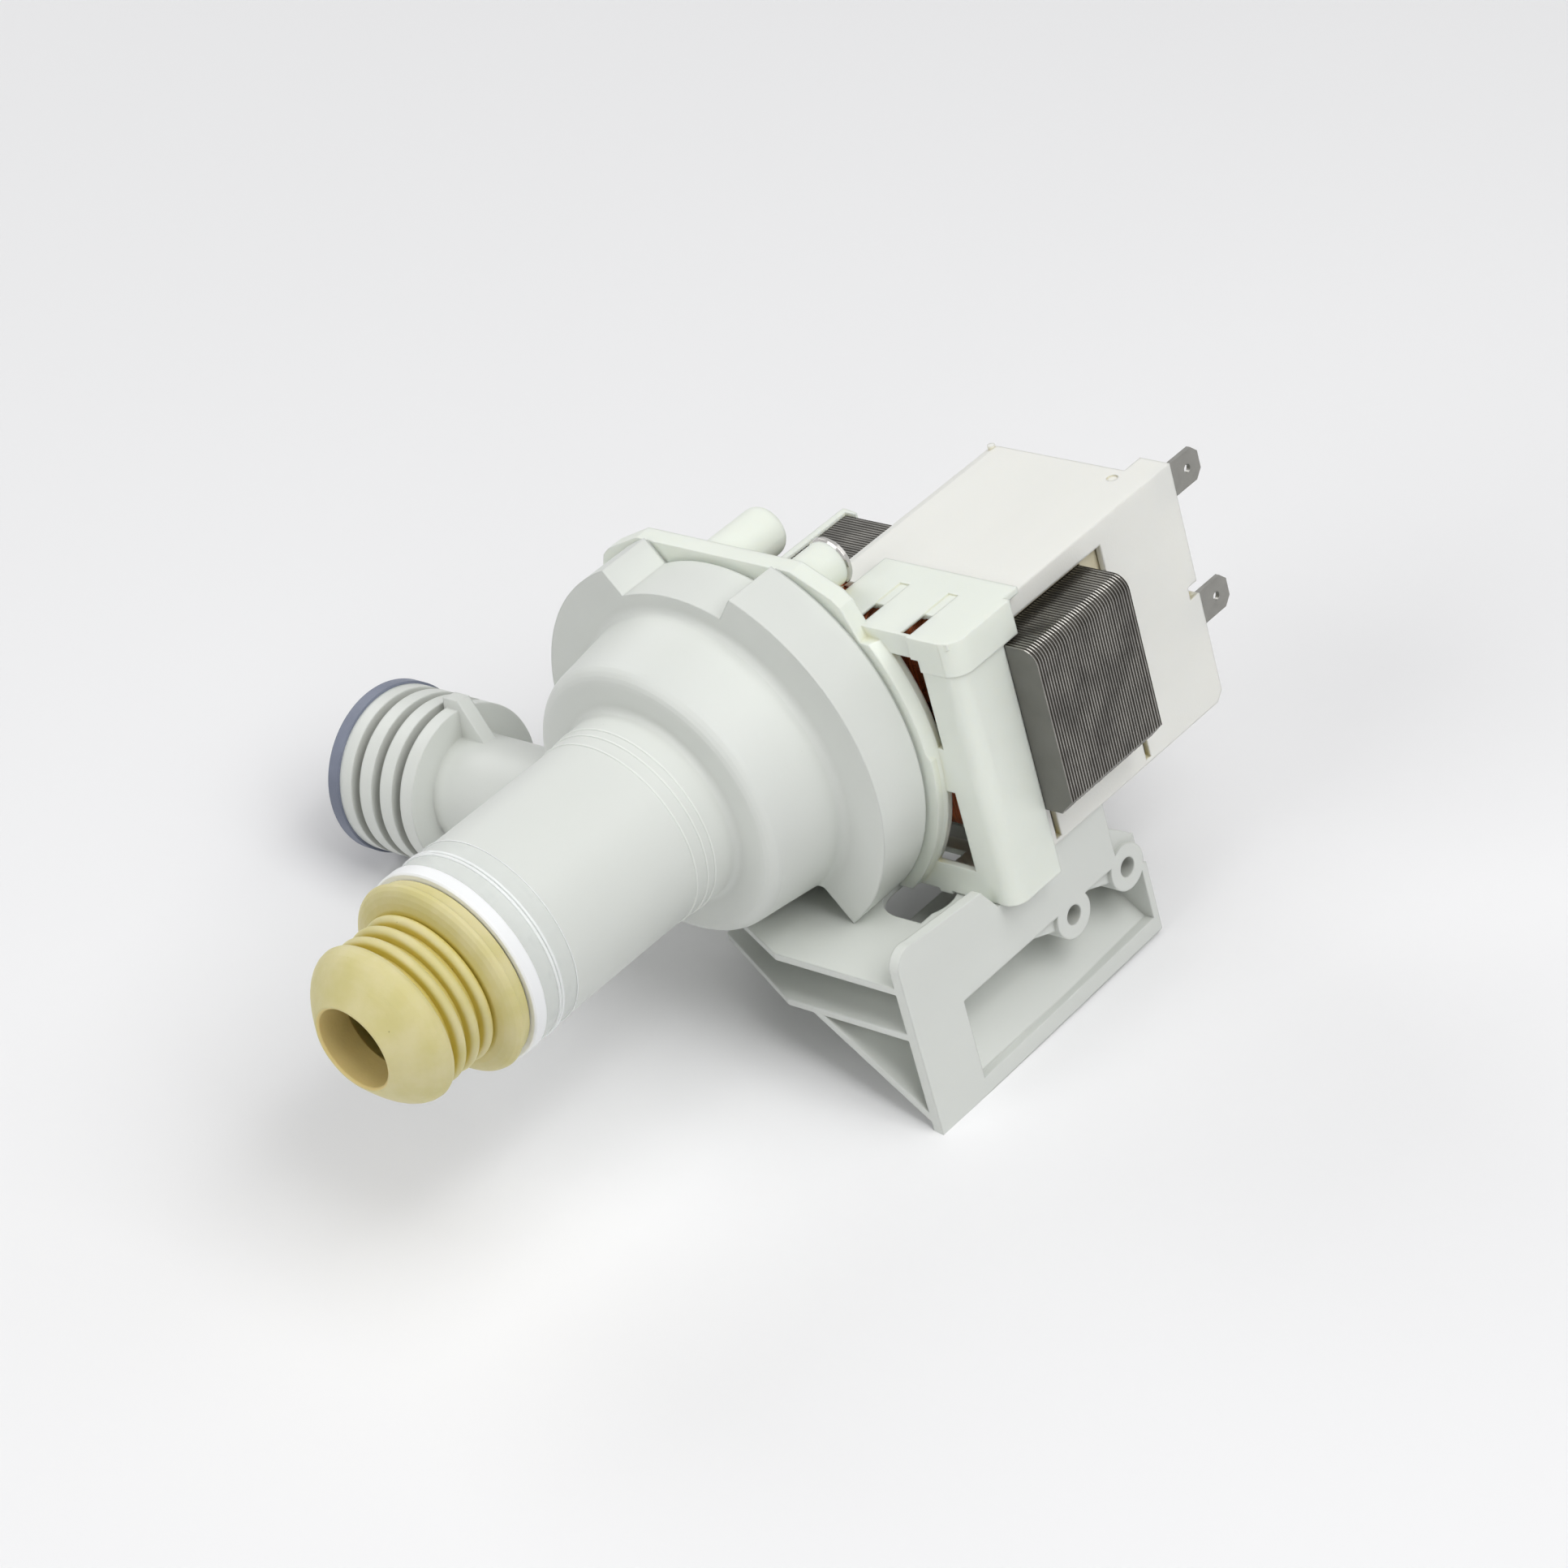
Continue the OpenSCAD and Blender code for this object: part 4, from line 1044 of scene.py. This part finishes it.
@dataclass
class CoreStack:
    """The U-shaped stack of punched sheets. Millimetres and degrees."""

    front: float = 112.6
    sheet_count: int = 38
    sheet_pitch: float = 0.65
    sheet_gap: float = 0.1
    pole_end: float = -8.3
    half_height: float = 16.1
    leg_gap: float = 16.2
    yoke_in: float = 43.8
    yoke_out: float = 53.8
    corner_round: float = 2.75
    corner_chamfer: float = 3.0
    pole_radius: float = 11.0
    unevenness: float = 0.03
    random_seed: int = 38
    edge_round: float = 0.13
    edge_faces: int = 1
    edge_angle: float = 60.0
    arc_steps: int = 8

    def corner(self) -> list[Pair]:
        """Give the upper outer corner.

        Returns:
            Points in X and Z, from the yoke to the leg.
        """
        radius = self.corner_round
        cx = self.yoke_out - radius
        cz = self.half_height - radius
        turns = [math.pi / 2 * step / self.arc_steps for step in range(self.arc_steps + 1)]
        return [(cx + radius * math.cos(a), cz + radius * math.sin(a)) for a in turns]

    def pole(self, leg: Leg) -> list[Pair]:
        """Give the hollow of one pole.

        Args:
            leg: The leg that ends in the pole.

        Returns:
            Points in X and Z, from left to right.
        """
        radius = self.pole_radius
        half_gap = self.leg_gap / 2
        first = math.atan2(half_gap, -math.sqrt(radius**2 - half_gap**2))
        last = math.pi - first
        steps = 2 * self.arc_steps
        points = []
        for step in range(steps + 1):
            turn = first + (last - first) * step / steps
            points.append((radius * math.cos(turn), leg.value * radius * math.sin(turn)))
        return points

    def outline(self) -> list[Pair]:
        """Give the outline of one sheet.

        Returns:
            Points in X and Z, once round the U.
        """
        half_gap = self.leg_gap / 2
        low = [
            (self.pole_end, -self.half_height),
            (self.yoke_out - self.corner_chamfer, -self.half_height),
            (self.yoke_out, -self.half_height + self.corner_chamfer),
        ]
        end = [(self.pole_end, self.half_height), (self.pole_end, half_gap)]
        inner = [(self.yoke_in, half_gap), (self.yoke_in, -half_gap)]
        lower = [*reversed(self.pole(Leg.LOWER)), (self.pole_end, -half_gap)]
        return [*low, *self.corner(), *end, *self.pole(Leg.UPPER), *inner, *lower]

    def sheet(self, shape: bmesh.types.BMesh, y: float, shift: Pair) -> None:
        """Add one sheet.

        Args:
            shape: The bmesh to add to.
            y: Front of the sheet.
            shift: How far the sheet sits off its place in X and Z.
        """
        thickness = self.sheet_pitch - self.sheet_gap
        corners = [((x + shift[0]) * MM, (z + shift[1]) * MM) for x, z in self.outline()]
        face = shape.faces.new([shape.verts.new((x, y * MM, z)) for x, z in corners])
        grown = bmesh.ops.extrude_face_region(shape, geom=[face])["geom"]
        bmesh.ops.translate(shape, verts=verts_of(grown), vec=(0, thickness * MM, 0))

    def build(self, shop: Workshop) -> bpy.types.Object:
        """Build the whole stack in place of its plain solid.

        Args:
            shop: Where pieces are made.

        Returns:
            The stack.
        """
        rng = random.Random(self.random_seed)
        shape = bmesh.new()
        for number in range(self.sheet_count):
            shift = (
                rng.uniform(-self.unevenness, self.unevenness),
                rng.uniform(-self.unevenness, self.unevenness),
            )
            self.sheet(shape, self.front + number * self.sheet_pitch, shift)
        bmesh.ops.recalc_face_normals(shape, faces=shape.faces[:])
        least = math.radians(self.edge_angle)
        sharp = [edge for edge in shape.edges if edge.calc_face_angle(0) > least]
        bevel(shape, sharp, self.edge_round, self.edge_faces)
        stack = shop.piece(shape, "core_sheets", SHEETS, Body.PUMP)
        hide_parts("core_stack")
        return stack


@dataclass
class Winding:
    """One coil: a layer of turns round a leg of the core. Millimetres and degrees.

    The sizes are those of the upper coil, and the lower one is its mirror image.
    """

    name: str
    leg: Leg
    left: float = 13.0
    right: float = 42.6
    front: float = 106.4
    back: float = 143.5
    low: float = 4.1
    high: float = 20.1
    wire: float = 0.42
    corner: float = 3.0
    sway: float = 0.05
    sag: float = 0.06
    core_inset: float = 0.6
    core_corner_faces: int = 5
    ring_sides: int = 8
    corner_steps: int = 5
    smooth_angle: float = 50.0

    def turn(self, shape: bmesh.types.BMesh) -> None:
        """Sweep one turn of wire round the leg at the coil's left end.

        Args:
            shape: The bmesh to add to.
        """
        inset = self.corner + self.wire / 2
        y_low, y_high = self.front + inset, self.back - inset
        z_low, z_high = self.low + inset, self.high - inset
        start = Matrix.Translation(Vector((self.left, y_low, self.high - self.wire / 2)) * MM)
        upright = start @ Matrix.Rotation(math.pi / 2, 4, "X")
        made = bmesh.ops.create_circle(
            shape, segments=self.ring_sides, radius=self.wire / 2 * MM, matrix=upright
        )
        edges = edges_at(made["verts"])
        corners = [(y_high, z_high), (y_high, z_low), (y_low, z_low), (y_low, z_high)]
        sides = [(y_high - y_low, 0), (0, z_low - z_high), (y_low - y_high, 0), (0, z_high - z_low)]
        for (dy, dz), (cy, cz) in zip(sides, corners):
            grown = bmesh.ops.extrude_edge_only(shape, edges=edges)["geom"]
            bmesh.ops.translate(shape, verts=verts_of(grown), vec=Vector((0, dy, dz)) * MM)
            spun = bmesh.ops.spin(
                shape,
                geom=edges_of(grown),
                cent=Vector((self.left, cy, cz)) * MM,
                axis=(1, 0, 0),
                angle=-math.pi / 2,
                steps=self.corner_steps,
                use_merge=False,
            )
            edges = edges_of(spun["geom_last"])

    def build(self, shop: Workshop) -> bpy.types.Object:
        """Build the coil in place of its plain solid.

        Args:
            shop: Where pieces are made.

        Returns:
            The coil.
        """
        shape = bmesh.new()
        self.turn(shape)
        bmesh.ops.remove_doubles(shape, verts=shape.verts[:], dist=MERGE)
        one = shape.verts[:] + shape.edges[:] + shape.faces[:]
        turns = int((self.right - self.left - self.wire) / self.wire)
        rng = random.Random(turns)
        for number in range(1, turns + 1):
            copied = bmesh.ops.duplicate(shape, geom=one)["geom"]
            sway = rng.uniform(-self.sway, self.sway)
            sag = rng.uniform(-self.sag, 0.0)
            shift = Vector((number * self.wire, sway, sag)) * MM
            bmesh.ops.translate(shape, verts=verts_of(copied), vec=shift)
        half_wire = Vector((self.wire / 2, 0, 0)) * MM
        bmesh.ops.translate(shape, verts=shape.verts[:], vec=half_wire)
        self.add_core(shape)
        if self.leg is Leg.LOWER:
            bmesh.ops.scale(shape, vec=(1, 1, -1), verts=shape.verts[:])
        bmesh.ops.recalc_face_normals(shape, faces=shape.faces[:])
        coil = shop.piece(shape, self.name + "_turns", COPPER, Body.PUMP)
        smooth(coil, self.smooth_angle)
        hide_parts(self.name)
        return coil

    def add_core(self, shape: bmesh.types.BMesh) -> None:
        """Fill the coil under its outer layer with a plain block.

        Args:
            shape: The bmesh to add to.
        """
        inset = 2 * self.wire * self.core_inset
        depth = self.back - self.front - inset
        height = self.high - self.low - inset
        size = Vector((self.right - self.left, depth, height)) * MM
        ends = (self.left + self.right, self.front + self.back, self.low + self.high)
        place = Matrix.Translation(Vector(ends) / 2 * MM) @ Matrix.Diagonal((*size, 1))
        made = bmesh.ops.create_cube(shape, size=1, matrix=place)
        edges = edges_at(made["verts"])
        along = [edge for edge in edges if abs((edge.verts[0].co - edge.verts[1].co).x) > MM]
        bevel(shape, along, self.corner, self.core_corner_faces)


@dataclass
class TubeRings:
    """The fine lines round the inlet tube: raised lines near the dome, and the folds of the film.

    A line is given by its Y and its radius. Millimetres and degrees.
    """

    steps: int = 96
    line_sides: int = 12
    step_lines: tuple[Pair, ...] = ((62.35, 17.55), (64.85, 17.7), (66.55, 17.85))
    step_size: float = 0.17
    fold_lines: tuple[Pair, ...] = ((29.0, 17.65), (29.7, 17.65))
    fold_size: float = 0.26
    film_edge: Pair = (33.2, 17.62)
    film_edge_size: float = 0.1
    smooth_angle: float = 60.0

    def ring(self, shape: bmesh.types.BMesh, y: float, radius: float, size: float) -> None:
        """Add one thin ring round the tube.

        Args:
            shape: The bmesh to add to.
            y: Place of the ring along the pump's axis.
            radius: Radius of the ring.
            size: Radius of its round section.
        """
        start = Matrix.Translation(Vector((radius, y, 0)) * MM)
        made = bmesh.ops.create_circle(
            shape, segments=self.line_sides, radius=size * MM, matrix=start
        )
        bmesh.ops.spin(
            shape,
            geom=edges_at(made["verts"]),
            cent=(0, 0, 0),
            axis=(0, 1, 0),
            angle=math.tau,
            steps=self.steps,
            use_merge=True,
        )

    def piece(self, shop: Workshop, name: str, rings: list[Triple], finish: Finish) -> None:
        """Build rings of one finish as one piece.

        Args:
            shop: Where pieces are made.
            name: Name of the piece.
            rings: Y, radius and section radius of each ring.
            finish: Their finish.
        """
        shape = bmesh.new()
        for ring in rings:
            self.ring(shape, *ring)
        bmesh.ops.remove_doubles(shape, verts=shape.verts[:], dist=MERGE)
        bmesh.ops.recalc_face_normals(shape, faces=shape.faces[:])
        smooth(shop.piece(shape, name, finish, Body.PUMP), self.smooth_angle)

    def build(self, shop: Workshop) -> None:
        """Build all the lines.

        Args:
            shop: Where pieces are made.
        """
        steps = [(*line, self.step_size) for line in self.step_lines]
        self.piece(shop, "tube_step_lines", steps, TUBE_LINE_HIGHLIGHT)
        folds = [(*line, self.fold_size) for line in self.fold_lines]
        self.piece(shop, "film_folds", [*folds, (*self.film_edge, self.film_edge_size)], FILM_LINE)


@dataclass(frozen=True)
class Lamp:
    """A soft square lamp: its name, centre, side in millimetres and power in watts."""

    name: str
    place: Triple
    size: float
    watts: float


@dataclass
class Studio:
    """The pale floor, the lamps and the camera. Millimetres and degrees."""

    eye: Triple = (537.81, -357.11, 405.11)
    target: Triple = (29.44, 75.08, 8.95)
    roll: float = 16.156
    field_of_view: float = 18.3425
    near_clip: float = 10.0
    far_clip: float = 50000.0
    bracket_edge: Triple = (43.25, 100.0, -58.2)
    floor_slope: float = 11.55
    floor_size: float = 9000.0
    floor_color: Rgb = (240, 240, 241)
    floor_span: Pair = (0.985, 1.0)
    floor_cloud: Pattern = Pattern(160.0)
    fade_start: float = 320.0
    fade_end: float = 1100.0
    world_color: Rgb = (245, 245, 246)
    world_strength: float = 0.09
    back_strength: float = 0.95
    centre: Triple = (10.0, 80.0, 0.0)
    lamps: tuple[Lamp, ...] = (
        Lamp("right_softbox", (1080.0, 80.0, 900.0), 800.0, 8.2),
        Lamp("low_right_softbox", (1160.0, -450.0, 590.0), 600.0, 1.6),
        Lamp("high_right_softbox", (520.0, 120.0, 1300.0), 1000.0, 7.0),
        Lamp("back_right_softbox", (820.0, 890.0, 800.0), 800.0, 1.4),
        Lamp("front_softbox", (-90.0, -1020.0, 850.0), 800.0, 6.0),
        Lamp("left_softbox", (-960.0, 280.0, 960.0), 800.0, 4.8),
    )

    def camera(self) -> None:
        """Set up the camera at the photograph's place."""
        data = bpy.data.cameras.new("photo_camera")
        data.sensor_fit = "AUTO"
        data.angle = math.radians(self.field_of_view)
        data.clip_start = self.near_clip * MM
        data.clip_end = self.far_clip * MM
        camera = placed("photo_camera", data)
        tilt = Matrix.Rotation(math.radians(-self.roll), 4, "Z")
        camera.matrix_world = facing(Vector(self.eye) * MM, Vector(self.target) * MM) @ tilt
        bpy.context.scene.camera = camera

    def floor(self) -> None:
        """Lay the floor under the bracket's lower edge and the outlet's rim."""
        shape = bmesh.new()
        bmesh.ops.create_grid(shape, x_segments=2, y_segments=2, size=self.floor_size / 2 * MM)
        tilt = Matrix.Rotation(math.radians(self.floor_slope), 4, "Y")
        place = Matrix.Translation(Vector(self.bracket_edge) * MM)
        bmesh.ops.transform(shape, matrix=place @ tilt, verts=shape.verts[:])
        floor = meshed(shape, "studio_floor", self.floor_material())

    def floor_material(self) -> bpy.types.Material:
        """Build a matt floor that stays pale far from the lamps and can't be seen from below.

        Returns:
            The new material.
        """
        tree = ShaderTree(bpy.data.materials.new("studio_paper"))
        color = tree.shades(tree.noise(self.floor_cloud), self.floor_color, self.floor_span)
        paper = tree.node("ShaderNodeBsdfDiffuse", {}, {"Color": color})
        shine = {"Color": linear(self.floor_color), "Strength": 1.0}
        glow = tree.node("ShaderNodeEmission", {}, shine)
        centre = Vector(self.centre) * MM
        away = tree.node("ShaderNodeVectorMath", {"operation": "DISTANCE"}, [tree.place, centre])
        far = Wire(tree, away.outputs["Value"]).ramp(self.fade_start * MM, self.fade_end * MM)
        shown = [far * tree.looked_at(), paper.outputs[0], glow.outputs[0]]
        sheet = tree.node("ShaderNodeMixShader", {}, shown)
        clear = tree.node("ShaderNodeBsdfTransparent", {}, {})
        behind = tree.node("ShaderNodeNewGeometry", {}, {}).outputs["Backfacing"]
        sides = [behind, sheet.outputs[0], clear.outputs[0]]
        mixed = tree.node("ShaderNodeMixShader", {}, sides)
        tree.node("ShaderNodeOutputMaterial", {}, {"Surface": mixed.outputs[0]})
        return tree.owner

    def world(self) -> None:
        """Light the scene evenly, and show a pale background to the rays that look."""
        world = bpy.data.worlds.new("studio_world")
        bpy.context.scene.world = world
        tree = ShaderTree(world)
        color = linear(self.world_color)
        lit = {"Color": color, "Strength": self.world_strength}
        seen = {"Color": color, "Strength": self.back_strength}
        fill = tree.node("ShaderNodeBackground", {}, lit)
        back = tree.node("ShaderNodeBackground", {}, seen)
        shown = [tree.looked_at(), fill.outputs[0], back.outputs[0]]
        mixed = tree.node("ShaderNodeMixShader", {}, shown)
        tree.node("ShaderNodeOutputWorld", {}, {"Surface": mixed.outputs[0]})

    def hang(self, lamp: Lamp) -> None:
        """Hang a lamp that points at the pump.

        Args:
            lamp: The lamp.
        """
        data = bpy.data.lights.new(lamp.name, "AREA")
        data.shape = "SQUARE"
        data.size = lamp.size * MM
        data.energy = lamp.watts
        made = placed(lamp.name, data)
        made.matrix_world = facing(Vector(lamp.place) * MM, Vector(self.centre) * MM)

    def build(self) -> None:
        """Set up the whole studio."""
        self.camera()
        self.floor()
        self.world()
        for lamp in self.lamps:
            self.hang(lamp)


def plain(box: tuple[Vector, Vector]) -> list[list[float]]:
    """Turn a box of two vectors into plain lists."""
    return [[float(value) for value in corner] for corner in box]


def main() -> None:
    """Load the frame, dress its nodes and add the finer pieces."""
    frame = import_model()
    bpy.context.scene.view_settings.view_transform = "Standard"
    shop = Workshop()
    for name, finish in NODE_FINISH.items():
        shop.dress(frame["nodes"][name], finish)
        LOG.info("%s: %s", name, finish.name)
    Studio().build()
    CoreStack().build(shop)
    Winding("upper_winding", Leg.UPPER).build(shop)
    Winding("lower_winding", Leg.LOWER).build(shop)
    TubeRings().build(shop)


if __name__ == "__main__":
    logging.basicConfig(level=logging.INFO, format="%(message)s")
    main()
